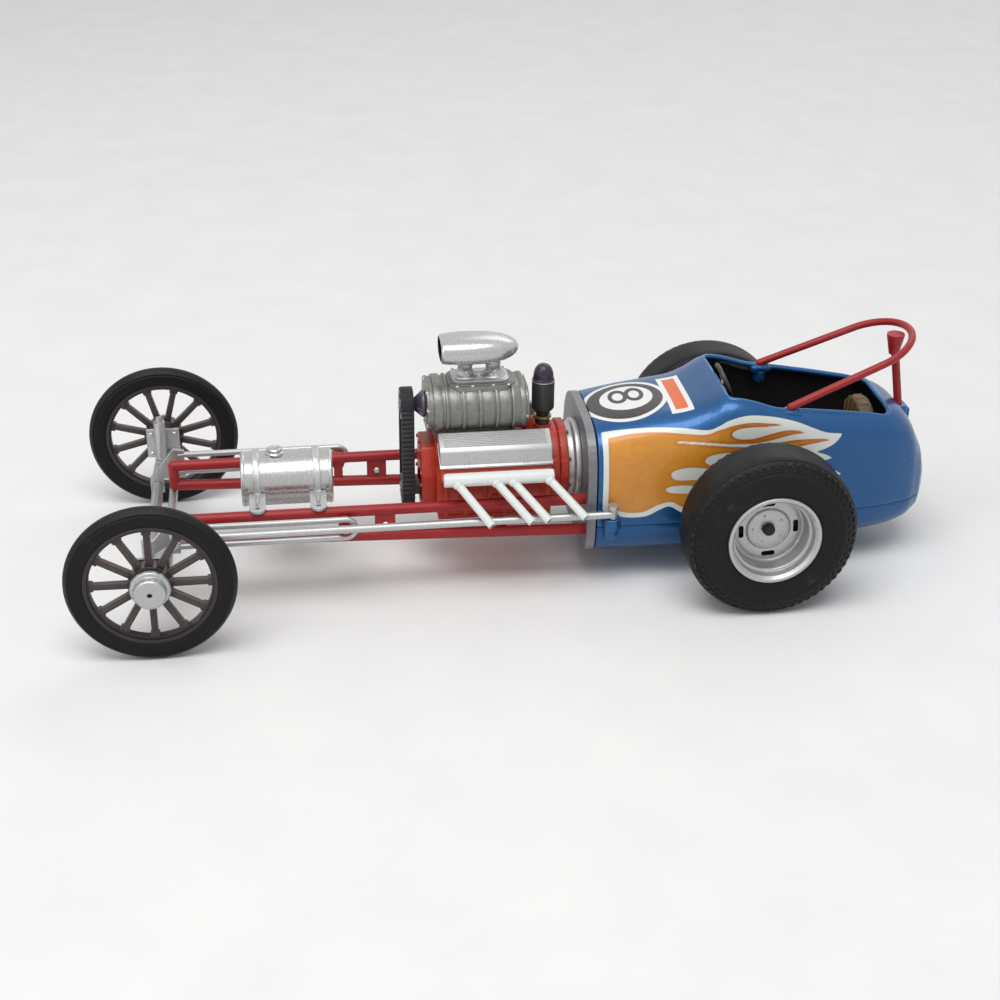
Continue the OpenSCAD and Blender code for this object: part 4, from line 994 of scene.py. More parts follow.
def makeBodyPaint(decals):
    look = {"blue": (2, 66, 122), "blueFlakeAndEdgeSheen": (34, 122, 182), "gold": (206, 132, 32),
            "goldDeep": (176, 84, 14), "border": (222, 226, 218), "ink": (34, 30, 29),
            "white": (232, 234, 230), "stickerStripe": (220, 98, 34), "goldLight": (214, 144, 46),
            "creviceShade": (10, 34, 72)}
    material, tree, shader = startMaterial("bodyPaintDecals" if decals else "bodyPaint")
    flake = placeGroup(tree, flakeGroup, Scale=11000.0, Spread=0.2)
    grain = placeGroup(tree, grainGroup, Scale=260.0, Depth=0.06, Height=0.00003)
    edgeAndShade = placeGroup(tree, edgeAndShadeGroup, Edge_Gain=5.0, Crevice_Gain=7.0, Break_Up=0.2)
    blue = mixColour(tree, maths(tree, "MULTIPLY", flake.outputs["Value"], 0.35), srgb(*look["blue"]),
                     srgb(*look["blueFlakeAndEdgeSheen"]))
    # painted sheen: the body's convex edges lightened towards the pale blue as a highlight; the same pale
    # blue also tints the metal flakes
    blue = mixColour(tree, edgeAndShade.outputs["Edge"], blue, srgb(*look["blueFlakeAndEdgeSheen"]))
    # painted shade: concave places of the body darkened towards the crevice shade blue
    blue = mixColour(tree, edgeAndShade.outputs["Crevice"], blue, srgb(*look["creviceShade"]))
    colour = blue
    paper = 0.0  # where a decal covers the metal paint
    if decals:
        edge = 0.06

        def attribute(name):
            node = tree.nodes.new("ShaderNodeAttribute")
            node.attribute_name = name
            return node.outputs["Fac"]
        border, gold = attribute("border"), attribute("gold")
        borderMask = remap(tree, border, edge, -edge)
        goldMask = remap(tree, gold, edge, -edge)
        grainGold = placeGroup(tree, grainGroup, Scale=700.0, Depth=0.1, Height=0.00002)
        deep = remap(tree, gold, -0.75, -0.05, smooth=True)
        goldColour = mixColour(tree, remap(tree, grainGold.outputs["Value"], 0.3, 0.7),
                               srgb(*look["gold"]), srgb(*look["goldLight"]))
        place = tree.nodes.new("ShaderNodeTexCoord")
        split = tree.nodes.new("ShaderNodeSeparateXYZ")
        tree.links.new(place.outputs["Object"], split.inputs[0])
        rearward = remap(tree, split.outputs["X"], (axleX + 94) * mm, (axleX + 104) * mm)
        goldColour = mixColour(tree,
                               maths(tree, "MULTIPLY", deep,
                maths(tree, "ADD", 0.25, maths(tree, "MULTIPLY", rearward, 0.6))), goldColour,
                srgb(*look["goldDeep"]))
        colour = mixColour(tree, borderMask, colour, srgb(*look["border"]))
        colour = mixColour(tree, goldMask, colour, goldColour)
        # roundel with its number, and the plain striped sticker, seen from above
        over = remap(tree, split.outputs["Z"], 0.0248, 0.0252)
        east = maths(tree, "SUBTRACT", split.outputs["X"], (axleX + roundel["station"]) * mm)
        north = maths(tree, "SUBTRACT", split.outputs["Y"], roundel["y"] * mm)

        def radius(u, v):
            return maths(tree, "SQRT", maths(tree, "ADD", maths(tree, "MULTIPLY", u, u),
                    maths(tree, "MULTIPLY", v, v)))

        def within(distance, limit):
            return remap(tree, distance, (limit + 0.05) * mm, (limit - 0.05) * mm)
        spread = radius(east, north)
        disc = maths(tree, "MULTIPLY", within(spread, roundel["outer"]), over)
        colour = mixColour(tree, disc, colour, srgb(*look["white"]))
        black = maths(tree, "MULTIPLY", within(spread, roundel["black"]), over)
        colour = mixColour(tree, black, colour, srgb(*look["ink"]))
        innerSpread = radius(maths(tree, "SUBTRACT", east, roundel["innerX"] * mm),
                             maths(tree, "SUBTRACT", north, roundel["innerY"] * mm))
        inner = maths(tree, "MULTIPLY", within(innerSpread, roundel["inner"]), over)
        colour = mixColour(tree, inner, colour, srgb(*look["white"]))
        for sign in (-1, 1):
            u = maths(tree, "SUBTRACT", east, (roundel["figureX"] + sign * roundel["loopShift"]) * mm)
            squash = maths(tree, "MULTIPLY", maths(tree, "SUBTRACT", north, roundel["figureY"] * mm),
                           roundel["loopSquash"])
            ring = maths(tree, "ABSOLUTE", maths(tree, "SUBTRACT", radius(u, squash), roundel["loop"] * mm))
            stroke = maths(tree, "MULTIPLY", within(ring, roundel["stroke"]), over)
            colour = mixColour(tree, stroke, colour, srgb(*look["ink"]))
        along = maths(tree, "ABSOLUTE", maths(tree, "SUBTRACT", split.outputs["X"],
                (axleX + sticker["station"]) * mm))
        across = maths(tree, "ABSOLUTE", maths(tree, "SUBTRACT", split.outputs["Y"], sticker["y"] * mm))
        patch = maths(tree, "MULTIPLY", maths(tree, "MULTIPLY", within(along, sticker["halfX"]),
                within(across, sticker["halfY"])), over)
        colour = mixColour(tree, patch, colour, srgb(*look["white"]))
        bar = maths(tree, "MULTIPLY", maths(tree, "MULTIPLY", within(along, sticker["barX"]),
                within(across, sticker["barY"])), over)
        colour = mixColour(tree, bar, colour, srgb(*look["stickerStripe"]))
        paper = maths(tree, "MAXIMUM", maths(tree, "MAXIMUM", borderMask, disc),
                      maths(tree, "MAXIMUM", patch, goldMask))
        tree.links.new(remap(tree, paper, 0.0, 1.0, 0.55, 0.05), shader.inputs["Metallic"])
        tree.links.new(remap(tree, paper, 0.0, 1.0, 0.34, 0.42), shader.inputs["Roughness"])
    else:
        shader.inputs["Metallic"].default_value = 0.55
        tree.links.new(remap(tree, grain.outputs["Value"], 0.3, 0.7, 0.3, 0.38), shader.inputs["Roughness"])
    tree.links.new(colour, shader.inputs["Base Color"])
    normal = tree.nodes.new("ShaderNodeMix")
    normal.data_type = "VECTOR"
    if decals:
        tree.links.new(paper, normal.inputs["Factor"])
    else:
        normal.inputs["Factor"].default_value = 0.0
    tree.links.new(flake.outputs["Normal"], normal.inputs[4])
    tree.links.new(grain.outputs["Normal"], normal.inputs[5])
    tree.links.new(normal.outputs[1], shader.inputs["Normal"])
    shader.inputs["Coat Weight"].default_value = 0.45
    shader.inputs["Coat Roughness"].default_value = 0.12
    return material


roundel = {"station": 84.8, "y": -0.7, "outer": 7.7, "black": 6.9, "inner": 4.8, "innerX": 0.4,
           "innerY": 0.7, "figureX": 0.5, "figureY": 1.6, "loop": 1.35, "loopShift": 1.5,
           "loopSquash": 0.62, "stroke": 0.38}
sticker = {"station": 93.9, "y": -1.2, "halfX": 2.0, "halfY": 7.2, "barX": 1.15, "barY": 6.2}
materials["bodyPaint"] = makeBodyPaint(False)
materials["bodyPaintDecals"] = makeBodyPaint(True)


def bodyStations():
    b = bodyShape
    regular = list(np.arange(b["start"] + 0.5, 137, b["step"]))
    tail = [137 + 5 * (1 - (1 - t) ** 2) for t in np.linspace(0, 1, 26)]
    return [b["start"], b["start"] + 0.12, b["start"] + 0.25] + regular + tail


def makeShell(name, lowZ, highZ, count, cutOpening, replaced, paint):
    stations = bodyStations()
    points, faces, extra, width = loft(0.0, lowZ, highZ, stations, count, cutOpening)
    # the front edge and the seam edge turn in slightly
    points = list(points)
    for k in range(width):
        for r, inset in ((0, 0.2), (1, 0.06)):
            x, y, z = points[r * width + k]
            pull = 1 - inset / 14
            points[r * width + k] = (x, y * pull, bodyShape["middle"] + (z - bodyShape["middle"]) * pull)
    for r in range(len(stations)):
        for k, inset in ((0, 0.16), (width - 1, 0.16)):
            x, y, z = points[r * width + k]
            points[r * width + k] = (x, y * (1 - inset / 13), z)
    mesh = bpy.data.meshes.new(name)
    mesh.from_pydata([(x * mm, y * mm, z * mm) for x, y, z in points], [], faces)
    mesh.materials.append(materials[paint])
    for polygon in mesh.polygons:
        polygon.use_smooth = True
    mesh.set_sharp_from_angle(angle=math.radians(60))
    obj = bpy.data.objects.new(name, mesh)
    bpy.context.scene.collection.objects.link(obj)
    if paint == "bodyPaintDecals":
        storeFlames(obj, extra)
    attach(obj, "chassis")
    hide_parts(*replaced)
    # the inside of the wall, and the edges that join the two
    wall = bodyShape["wall"]
    innerStations = [bodyShape["start"]] + list(np.arange(bodyShape["start"] + 1, 140, 1.0))
    inner = loft(wall, lowZ, highZ, innerStations, 40, cutOpening)
    innerShape = (inner[0], inner[1])
    innerWidth = inner[3]
    outerAt = {s: halfSection(s, 0.0, lowZ, highZ, 40) for s in innerStations}
    edges = []
    for pick in (0, -1):
        rowOut, rowIn = [], []
        for i, s in enumerate(innerStations):
            y, z, _ = outerAt[s]
            index = 0 if highZ is None else -1
            yy = y[index] * (1 if pick == 0 else -1) * (1 - 0.16 / 13)
            rowOut.append((axleX + s, yy, z[index]))
            rowIn.append(inner[0][i * innerWidth + (0 if pick == 0 else innerWidth - 1)])
        edges.append(strip(rowOut, rowIn))
    y, z, _ = halfSection(bodyShape["start"], 0.0, lowZ, highZ, 40)
    pull = 1 - 0.2 / 14
    middle = bodyShape["middle"]
    if highZ is None:
        ring = list(zip(y, z)) + [(-a, b) for a, b in list(zip(y, z))[-2::-1]]
    else:
        ring = list(zip(y, z))[::-1] + [(-a, b) for a, b in list(zip(y, z))[1:]]
    front = strip([(axleX + bodyShape["start"], a * pull, middle + (b - middle) * pull) for a,
                   b in ring], inner[0][:innerWidth])
    newPiece(name + "_inside", "chassis",
             [(innerShape, "cockpitBlack"), (joined(*edges, front), "bodyPaint")], angle=60)
    return obj


makeShell("body_shell_painted", bodyShape["seam"] + 0.05, None, 72, True, ("body_shell",), "bodyPaintDecals")
makeShell("belly_pan_painted", None, bodyShape["seam"] - 0.05, 44, False, ("belly_pan",), "bodyPaint")


def makeCockpitLip():
    line = resampled(openingLine, 0.6)
    path = [(axleX + s, y, topHeight(s, y) - 0.36) for s, y in line]
    newPiece("cockpit_lip", "chassis", [(ringTube(path, opening["lip"], 12), "bodyPaint")],
             angle=80)


makeCockpitLip()

barFoot = {"station": 113.0, "y": 10.2, "z": 32.2}
socket = {"barInner": 0.76, "braceStation": 137.0, "braceTop": 27.4, "boss": 1.6, "bossStation": 80.5,
          "bossY": -14.6}


def makeSockets():
    b = barFoot
    ledge = brick((-1.9, -1.15, -1.15), (2.1, 1.15, 0.0), 0.3, 0.7)
    ring = lathe(soften([(socket["barInner"], -0.3), (socket["barInner"], 0.2),
                         (socket["barInner"] + 0.4, 0.2), (socket["barInner"] + 0.6, -0.3)], 0.08, 2), 32)
    cup = turnedSolid([(0, -3.3), (0.95, -3.3), (1.15, -2.9), (1.15, -1.0), (0, -1.0)], 32, 0.2, 3)
    collars = [moved(joined(ledge, ring, cup), axleX + b["station"], side * b["y"], b["z"] - 0.5)
               for side in (-1, 1)]
    x = axleX + socket["braceStation"]
    block = slab(roundedRectangle(x - 1.5, -1.5, x + 1.55, 1.5, 0.6), 20.5, socket["braceTop"] - 0.25, 0.25)
    spine = slab(roundedRectangle(x + 0.3, -0.9, x + 2.3, 0.9, 0.5), 17.5, socket["braceTop"] - 1.0, 0.3)
    bossX, bossY = axleX + socket["bossStation"], socket["bossY"]
    boss = turnedSolid([(0, 11.9), (1.2, 11.9), (socket["boss"], 12.2), (socket["boss"], 14.15),
                        (socket["boss"] - 0.2, 14.32), (0, 14.32)], 40, 0.1, 2)
    under = turnedSolid([(0, 9.3), (0.9, 9.4), (1.35, 10.2), (1.45, 11.95), (0, 11.95)], 32, 0.4, 4)
    newPiece("body_sockets", "chassis",
             [(joined(*collars, block, spine, moved(boss, bossX, bossY),
                      moved(under, bossX, bossY + 1.0)), "bodyPaint")])


makeSockets()
print("body made")


# cockpit
seatLook = {"station": 113.5, "length": 14.5, "half": 5.0, "floor": 6.8, "cushionTop": 12.0,
            "backBase": 128.4, "backTop": 28.6, "rolls": 5}


def makeSeat():
    k = seatLook
    x0 = axleX + k["station"]
    half = k["half"]
    cushion = soften([(-half, k["floor"]), (half, k["floor"]), (half, k["cushionTop"] - 0.9),
                      (half * 0.4, k["cushionTop"]), (-half * 0.4, k["cushionTop"]),
                      (-half, k["cushionTop"] - 0.9)], 1.2, 4)
    parts = [moved(alongX(slab(cushion, 0, k["length"], 0.8, 4)), x0)]
    arch = [(-half, k["floor"])] + [(half, k["floor"])] + [(half * math.cos(a),
            k["backTop"] - 3.6 + 3.6 * math.sin(a)) for a in np.linspace(0, math.pi, 25)]
    parts.append(moved(alongX(slab(arch, 0, 3.0, 0.8, 4)), axleX + k["backBase"]))
    for i in range(k["rolls"]):  # piping between the quilted rolls
        y = -half + (i + 0.5) * 2 * half / k["rolls"]
        top = k["backTop"] - 3.6 + 3.6 * math.sqrt(1 - (y / half) ** 2)
        parts.append(tube([(axleX + k["backBase"] - 0.02, y, k["cushionTop"]),
                           (axleX + k["backBase"] - 0.02, y, top - 0.9), (axleX + k["backBase"] + 0.7, y,
                top - 0.02), (axleX + k["backBase"] + 2.2, y, top - 0.02)], 0.22, 8))
        parts.append(tube([(x0 + 0.8, y, k["cushionTop"] - 0.2),
                           (x0 + k["length"] - 0.8, y, k["cushionTop"] - 0.2)], 0.3, 8))
    newPiece("seat_quilted", "chassis", [(joined(*parts), "seatLeather")], replaces=("seat",))


steeringLook = {"centre": (103.4, 0.0, 33.0), "tilt": 68.0, "radius": 3.4, "grip": 0.42,
                "columnEnd": (84.0, 0.0, 20.0)}


def makeSteeringWheel():
    k = steeringLook
    ring = lathe([(k["radius"] + k["grip"] * math.cos(a), k["grip"] * math.sin(a))
                  for a in np.linspace(0, 2 * math.pi, 13)[:-1]], 64)
    grips = [spun(moved(brick((-0.5, -0.14, -0.1), (0.5, 0.14, 0.1), 0.05), k["radius"], 0, 0), a)
             for a in range(0, 360, 30)]
    spokes = [spun(slab([(0.5, -0.32), (k["radius"] - 0.2, -0.2), (k["radius"] - 0.2, 0.2), (0.5, 0.32)],
                        -0.12, 0.12, 0.06), a) for a in (0, 90, 180, 270)]
    hub = turnedSolid([(0, -0.4), (0.8, -0.4), (0.8, 0.2), (0.5, 0.4), (0, 0.4)], 32, 0.1, 2)
    holes = [spun(moved(rivet(0.12, 0.1), 0.5, 0, 0.3), a) for a in range(0, 360, 60)]
    tilt = Matrix.Rotation(math.radians(k["tilt"]), 3, "Y")
    x, y, z = k["centre"]
    ex, ey, ez = k["columnEnd"]
    column = tube([(axleX + x, y, z), (axleX + ex, ey, ez)], 0.45, 16)
    bracket = brick((axleX + 97.2, -1.6, 27.4), (axleX + 98.6, 1.6, 31.6), 0.15)
    newPiece("steering_wheel_ring", "chassis",
             [(moved(turned(joined(ring, *grips), tilt), axleX + x, y, z), "wheelBlack"),
              (moved(turned(joined(hub, *spokes, *holes), tilt), axleX + x, y, z), "silverPaint"),
              (column, "silverPaint"), (bracket, "cockpitBlack")], replaces=("steering_wheel",))


makeSeat()
makeSteeringWheel()
print("cockpit made")


# fuel tank
tank = {"start": 15.1, "length": 16.4, "radius": 5.05, "z": 18.3, "straps": (17.9, 28.6), "filler": 21.3}


def makeTank():
    t = tank
    r, l = t["radius"], t["length"]
    profile = [(0, 0.25), (r - 2.2, 0.2), (r - 1.2, 0.0), (r - 0.35, 0.0), (r, 0.22), (r, 0.55),
               (r - 0.12, 0.7), (r - 0.12, l - 0.7), (r, l - 0.55), (r, l - 0.22), (r - 0.35, l),
               (r - 1.2, l), (r - 2.2, l - 0.2), (0, l - 0.25)]
    shell = moved(alongX(turnedSolid(profile, 96, 0.15, 3)), axleX + t["start"], 0, t["z"])
    outlet = moved(spun(turnedSolid([(0, 0), (0.55, 0), (0.55, 0.5), (0.35, 0.6), (0.35, 1.0), (0, 1.0)],
            20, 0.05, 2), 90, "Y"), axleX + t["start"] + l - 1.0, 0, t["z"] - 3.2)
    newPiece("fuel_tank_drum", "chassis", [(joined(shell, outlet), "brightSilver")],
             replaces=("fuel_tank",))
    bands = []
    for s in t["straps"]:
        for z in (-0.52, 0.52):  # a raised bead along each edge of the strap
            bead = lathe([(r + 0.2 + 0.12 * math.cos(a), z + 0.12 * math.sin(a))
                          for a in np.linspace(0, 2 * math.pi, 9)[:-1]], 96)
            bands.append(moved(alongX(bead), axleX + s, 0, t["z"]))
    newPiece("tank_strap_beads", "chassis", [(joined(*bands), "silverPaint")])
    cap = turnedSolid([(0, 0.0), (1.7, 0.0), (1.7, 0.45), (1.45, 0.62), (1.3, 0.62), (1.3, 1.05),
                       (1.1, 1.22), (0.7, 1.22), (0.62, 1.14), (0, 1.14)], 48, 0.07, 3)
    grips = [spun(moved(brick((-0.08, -0.12, 0.0), (0.08, 0.12, 0.5), 0.04), 1.3, 0, 0.6), a)
             for a in range(0, 360, 24)]
    top = t["z"] + r - 0.3
    newPiece("filler_cap_turned", "chassis",
             [(moved(joined(cap, *grips), axleX + t["filler"], 0, top), "brightSilver")],
             replaces=("filler_cap",))


makeTank()
print("tank made")


# engine
engine = {"start": 50.0, "end": 70.6, "half": 7.4, "low": 11.8, "top": 21.0, "valley": 25.6,
          "crankZ": 15.0, "flangeZ": 19.2, "flange": 7.2, "boltCircle": 6.6, "flangeBolts": 8,
          "head": [(4, 25), (5.2, 25.6), (9.7, 23.5), (10.7, 21.2), (7, 18.6), (4, 20)],
          "cover": [(5.4, 27.9), (5.9, 28.4), (9.2, 26.8), (9.7, 26.2), (10.1, 23.6), (9.7, 23.52),
                    (5.2, 25.62)]}


def flangeCircle():  # places of the ears and bolts round the rear flange
    angles = [22.5 + 45 * i for i in range(engine["flangeBolts"])]
    return [(engine["boltCircle"] * math.cos(math.radians(a)),
             engine["flangeZ"] + engine["boltCircle"] * math.sin(math.radians(a))) for a in angles]


def makeEngine():
    e = engine
    a, b = e["start"], e["end"]
    shapes = [brick((axleX + a, -e["half"], e["low"]), (axleX + b, e["half"], e["top"] + 0.3), 0.25),
              brick((axleX + a + 13, -4.6, 8.2), (axleX + b - 0.6, 4.6, e["low"] + 0.3), 0.4),
              brick((axleX + a, -4.5, e["top"]), (axleX + b, 4.5, e["valley"]), 0.2)]
    # pan rail, core plugs and stiffening ribs on the block's flanks
    rail = brick((axleX + a + 0.1, -e["half"] - 0.25, e["low"] + 0.1),
                 (axleX + b - 0.1, e["half"] + 0.25, e["low"] + 0.75), 0.12)
    shapes.append(rail)
    for side in (-1, 1):
        head = moved(alongX(slab(soften([(side * y, z) for y, z in e["head"]], 0.3, 3), 0, b - a - 0.8,
                0.15)), axleX + a + 0.3)
        shapes.append(head)
        for s in np.linspace(a + 1.6, b - 1.6, 6):
            post = lathe([(0, 0), (0.5, 0), (0.5, 5.6), (0.42, 5.8), (0, 5.8)], 16, closed=False)
            shapes.append(moved(post, axleX + s, side * 7.2, 12.6))
        for s in (a + 4.4, a + 10.3, a + 16.2):
            plug = spun(turnedSolid([(0, 0), (0.85, 0), (0.85, 0.3), (0.65, 0.36), (0.6, 0.2), (0, 0.2)],
                                    24, 0.05, 2), -90 * side, "X")
            shapes.append(moved(plug, axleX + s, side * e["half"], 15.6))
    # timing cover with its round boss, raised rim and bolts
    cover = soften([(-5.0, 14.0), (-3.4, 13.1), (3.4, 13.1), (5.0, 14.0), (5.2, 19.5), (3.6, 24.6),
                    (-3.6, 24.6), (-5.2, 19.5)], 0.7, 4)
    shapes.append(moved(alongX(slab(cover, 0, 2.7, 0.25)), axleX + a - 2.6))
    boss = turnedSolid([(0, 0), (3.9, 0), (4.6, 0.5), (4.7, 2.6), (0, 2.6)], 64, 0.3, 3)
    shapes.append(moved(alongX(boss), axleX + a - 2.6, 0, e["crankZ"]))
    for y, z in ((-4.3, 19.8), (4.3, 19.8), (-3.2, 23.8), (3.2, 23.8), (0, 24.0), (-4.3, 17.4), (4.3, 17.4)):
        shapes.append(moved(alongX(spun(boltHead(0.34, 0.3), 180, "Y")), axleX + a - 2.6, y, z))
    # flange with ears at the back
    flange = turnedSolid([(0, 0), (e["flange"], 0), (e["flange"], 1.6), (0, 1.6)], 72, 0.15, 2)
    shapes.append(moved(alongX(flange), axleX + b, 0, e["flangeZ"]))
    ears = []
    for y, z in flangeCircle():
        ears.append(moved(alongX(turnedSolid([(0, 0), (0.75, 0), (0.75, 1.5), (0, 1.5)], 20, 0.12, 2)),
                          axleX + b - 0.4, y, z))
    # seat of the magneto, and of the fitting before it
    seatRing = turnedSolid([(0, 0), (1.9, 0), (1.9, 0.4), (1.6, 0.5), (1.55, 1.15), (0, 1.15)], 40, 0.1, 2)
    shapes.append(moved(seatRing, axleX + 69.9, 0, e["valley"] - 0.02))
    shapes.append(brick((axleX + 66.5, -1.2, e["valley"] - 0.2), (axleX + 68.0, 1.2, e["valley"] + 2.6),
                        0.15))
    newPiece("engine_block_cast", "chassis", [(joined(*shapes, *ears), "engineRed")],
             replaces=("engine_block",))
    fitting = turnedSolid([(0, 0), (0.42, 0), (0.42, 1.6), (0.45, 1.7), (0.45, 2.6), (0.3, 2.75),
                           (0, 2.75)], 16, 0.05, 2)
    newPiece("oil_fitting", "chassis",
             [(moved(fitting, axleX + 67.3, 0, e["valley"] + 2.5), "silverPaint")])
    bolts = [moved(alongX(boltHead(0.42, 0.5)), axleX + b - 0.9, y, z) for y, z in flangeCircle()]
    newPiece("flange_bolts", "chassis", [(joined(*bolts), "magnetoGrey")])


def makeValveCovers():
    e = engine
    shapes = []
    for side in (-1, 1):
        outline = soften([(side * y, z) for y, z in e["cover"]], 0.22, 3)
        shapes.append(moved(alongX(slab(outline, 0, 20, 0.22)), axleX + 50.2))
        lip = [(5.15, 25.66), (9.72, 23.54), (10.3, 23.3), (10.4, 23.62), (10.12, 23.85), (5.4, 26.1)]
        shapes.append(moved(alongX(slab([(side * y, z) for y, z in lip], 0, 20.2, 0.08)), axleX + 50.1))
        # fine fins on the top face
        for i in range(9):
            y = 6.15 + i * 0.34
            z = 28.4 - (y - 5.9) * (28.4 - 26.8) / (9.2 - 5.9)
            fin = brick((axleX + 51.0, side * y - 0.09, z - 0.25), (axleX + 69.4, side * y + 0.09,
                    z + 0.1), 0.04)
            shapes.append(fin)
    newPiece("valve_covers_finned", "chassis", [(joined(*shapes), "silverPaint")],
             replaces=("valve_covers",))
    grooves = []
    for side in (-1, 1):
        for s in (54.6, 55.3, 65.2, 65.8):
            bar = tube([(axleX + s, side * 9.72, 26.0), (axleX + s, side * 10.1, 23.9)], 0.14, 8)
            grooves.append(bar)
    newPiece("valve_cover_seams", "chassis", [(joined(*grooves), "firewallGrey")])


headers = {"start": 50.6, "length": 19.6, "radius": 1.2, "y": 11.9, "z": 21.9, "pipe": 0.75,
           "places": (1.9, 8.7, 11.7, 18.2), "runs": ((5.9, 6.7, -5.9), (6.2, 6.5, -5.8),
        (6.2, 6.5, -5.6), (6.2, 6.5, -5.4))}


def makeHeaders():
    h = headers
    for label, side in sides.items():
        shapes = []
        start = axleX + h["start"]
        r = h["radius"]
        shapes.append(moved(alongX(turnedSolid([(0, 0), (r, 0), (r, h["length"]), (0, h["length"])], 32,
                0.3, 3)), start, side * h["y"], h["z"]))
        flat = brick((start + 0.5, min(side * 10.3, side * 11.9), h["z"] - 0.8),
                     (start + h["length"] - 0.5, max(side * 10.3, side * 11.9), h["z"] + 0.7), 0.2)
        shapes.append(flat)
        pipeShadeDiscs = []
        for place, run in zip(h["places"], h["runs"]):
            root = Vector((start + place, side * h["y"], h["z"]))
            along = Vector((run[0], side * run[1], run[2]))
            length = along.length
            rot = Vector((0, 0, 1)).rotation_difference(along.normalized()).to_matrix()
            pipe = turnedSolid([(0, 0.3), (0.95, 0.3), (0.95, 1.25), (0.8, 1.5), (h["pipe"], 1.7),
                                (h["pipe"], length - 0.08), (h["pipe"] - 0.08, length),
                                (h["pipe"] - 0.14, length), (h["pipe"] - 0.16, length - 2.4),
                                (0, length - 2.4)], 32, 0.06, 2)
            shapes.append(moved(turned(pipe, rot), *root))
            # a black disc inside each pipe end: painted shade in the pipe's hollow
            inner = lathe([(0, length - 0.5), (h["pipe"] - 0.17, length - 0.5),
                           (h["pipe"] - 0.155, length - 0.1), (h["pipe"] - 0.19, length - 0.1),
                           (h["pipe"] - 0.2, length - 0.42), (0, length - 0.42)], 32, closed=False)
            pipeShadeDiscs.append(moved(turned(inner, rot), *root))
        newPiece(f"exhaust_header_{label}_pipes", "chassis",
                 [(joined(*shapes), "headerWhite"), (joined(*pipeShadeDiscs), "paintedShadeBlack")],
                 replaces=(f"exhaust_header_{label}",))


blowerLook = {"start": 50.6, "length": 14.6, "z": 31.6, "width": 12.0, "height": 8.8, "panels": 4}


def caseOutline(grow, steps=12):
    r = blowerLook["height"] / 2 + grow
    flat = (blowerLook["width"] - blowerLook["height"]) / 2
    right = [(flat + r * math.cos(a), r * math.sin(a)) for a in np.linspace(-math.pi / 2, math.pi / 2,
            2 * steps + 1)]
    return right + [(-x, -y) for x, y in right]


def makeBlower():
    k = blowerLook
    x0, z0 = axleX + k["start"], k["z"]
    shapes = [moved(alongX(slab(caseOutline(-0.05), 0, k["length"], 0.1)), x0, 0, z0)]
    margin = 1.4
    pitch = (k["length"] - 2 * margin) / k["panels"]
    for i in range(k["panels"] + 1):
        shapes.append(moved(alongX(slab(caseOutline(0.33), -0.27, 0.27, 0.14)), x0 + margin + i * pitch,
                            0, z0))
    for i in range(k["panels"]):  # fine ribs inside each panel
        shapes.append(moved(alongX(slab(caseOutline(0.08), -pitch * 0.33, pitch * 0.33, 0.12)),
                            x0 + margin + (i + 0.5) * pitch, 0, z0))
    # front: end plate, bearing plate and raised pads; rear: end plate
    shapes.append(moved(alongX(slab(caseOutline(0.28), -0.75, 0.75, 0.15)), x0 - 0.2, 0, z0))
    shapes.append(moved(alongX(slab(caseOutline(-0.1), -1.9, -0.8, 0.2)), x0 + 0.1, 0, z0))
    shapes.append(moved(alongX(slab(caseOutline(0.02), -2.15, -1.6, 0.15)), x0, 0, z0))
    shapes.append(moved(alongX(slab(caseOutline(0.08), 0, 1.0, 0.2)), x0 + k["length"] - 0.1, 0, z0))
    shapes.append(moved(alongX(slab(caseOutline(-0.5), 0.9, 1.5, 0.2)), x0 + k["length"], 0, z0))
    pads = []
    ring = caseOutline(-0.35, 6)
    for i in range(0, len(ring), 3):
        y, z = ring[i]
        pads.append(moved(alongX(spun(boltHead(0.42, 0.5), 180, "Y")), x0 - 1.75, y, z0 + z))
    for i in range(0, len(ring), 4):
        y, z = ring[i]
        pads.append(moved(alongX(boltHead(0.35, 0.35)), x0 + k["length"] + 0.95, y * 0.95, z0 + z * 0.95))
    # manifold below and the plate on top, with bolts round it
    shapes.append(brick((x0 + 0.6, -4.4, engine["valley"] - 0.05), (x0 + k["length"] - 2, 4.4, z0 - 2), 0.2))
    deck = z0 + k["height"] / 2
    plate = slab(soften([(x0 + 1.8, -2.6), (x0 + 3.4, -4.2), (x0 + 12.2, -4.2), (x0 + 13.8, -2.6),
                         (x0 + 13.8, 2.6), (x0 + 12.2, 4.2), (x0 + 3.4, 4.2), (x0 + 1.8, 2.6)], 0.8, 3),
                         deck - 1.2, deck + 0.3, 0.15)
    rim = slab(soften([(x0 + 2.2, -2.5), (x0 + 3.6, -3.8), (x0 + 12.0, -3.8), (x0 + 13.4, -2.5),
                       (x0 + 13.4, 2.5), (x0 + 12.0, 3.8), (x0 + 3.6, 3.8), (x0 + 2.2, 2.5)], 0.8, 3),
                       deck + 0.1, deck + 0.5, 0.12)
    shapes += [plate, rim]
    for s in (x0 + 3.3, x0 + 6.0, x0 + 9.7, x0 + 12.4):
        for side in (-1, 1):
            pads.append(moved(boltHead(0.3, 0.22), s, side * 3.95, deck + 0.28))
    newPiece("blower_case", "chassis", [(joined(*shapes), "gunmetal"),
            (joined(*pads), "silverPaint")], replaces=("blower",))


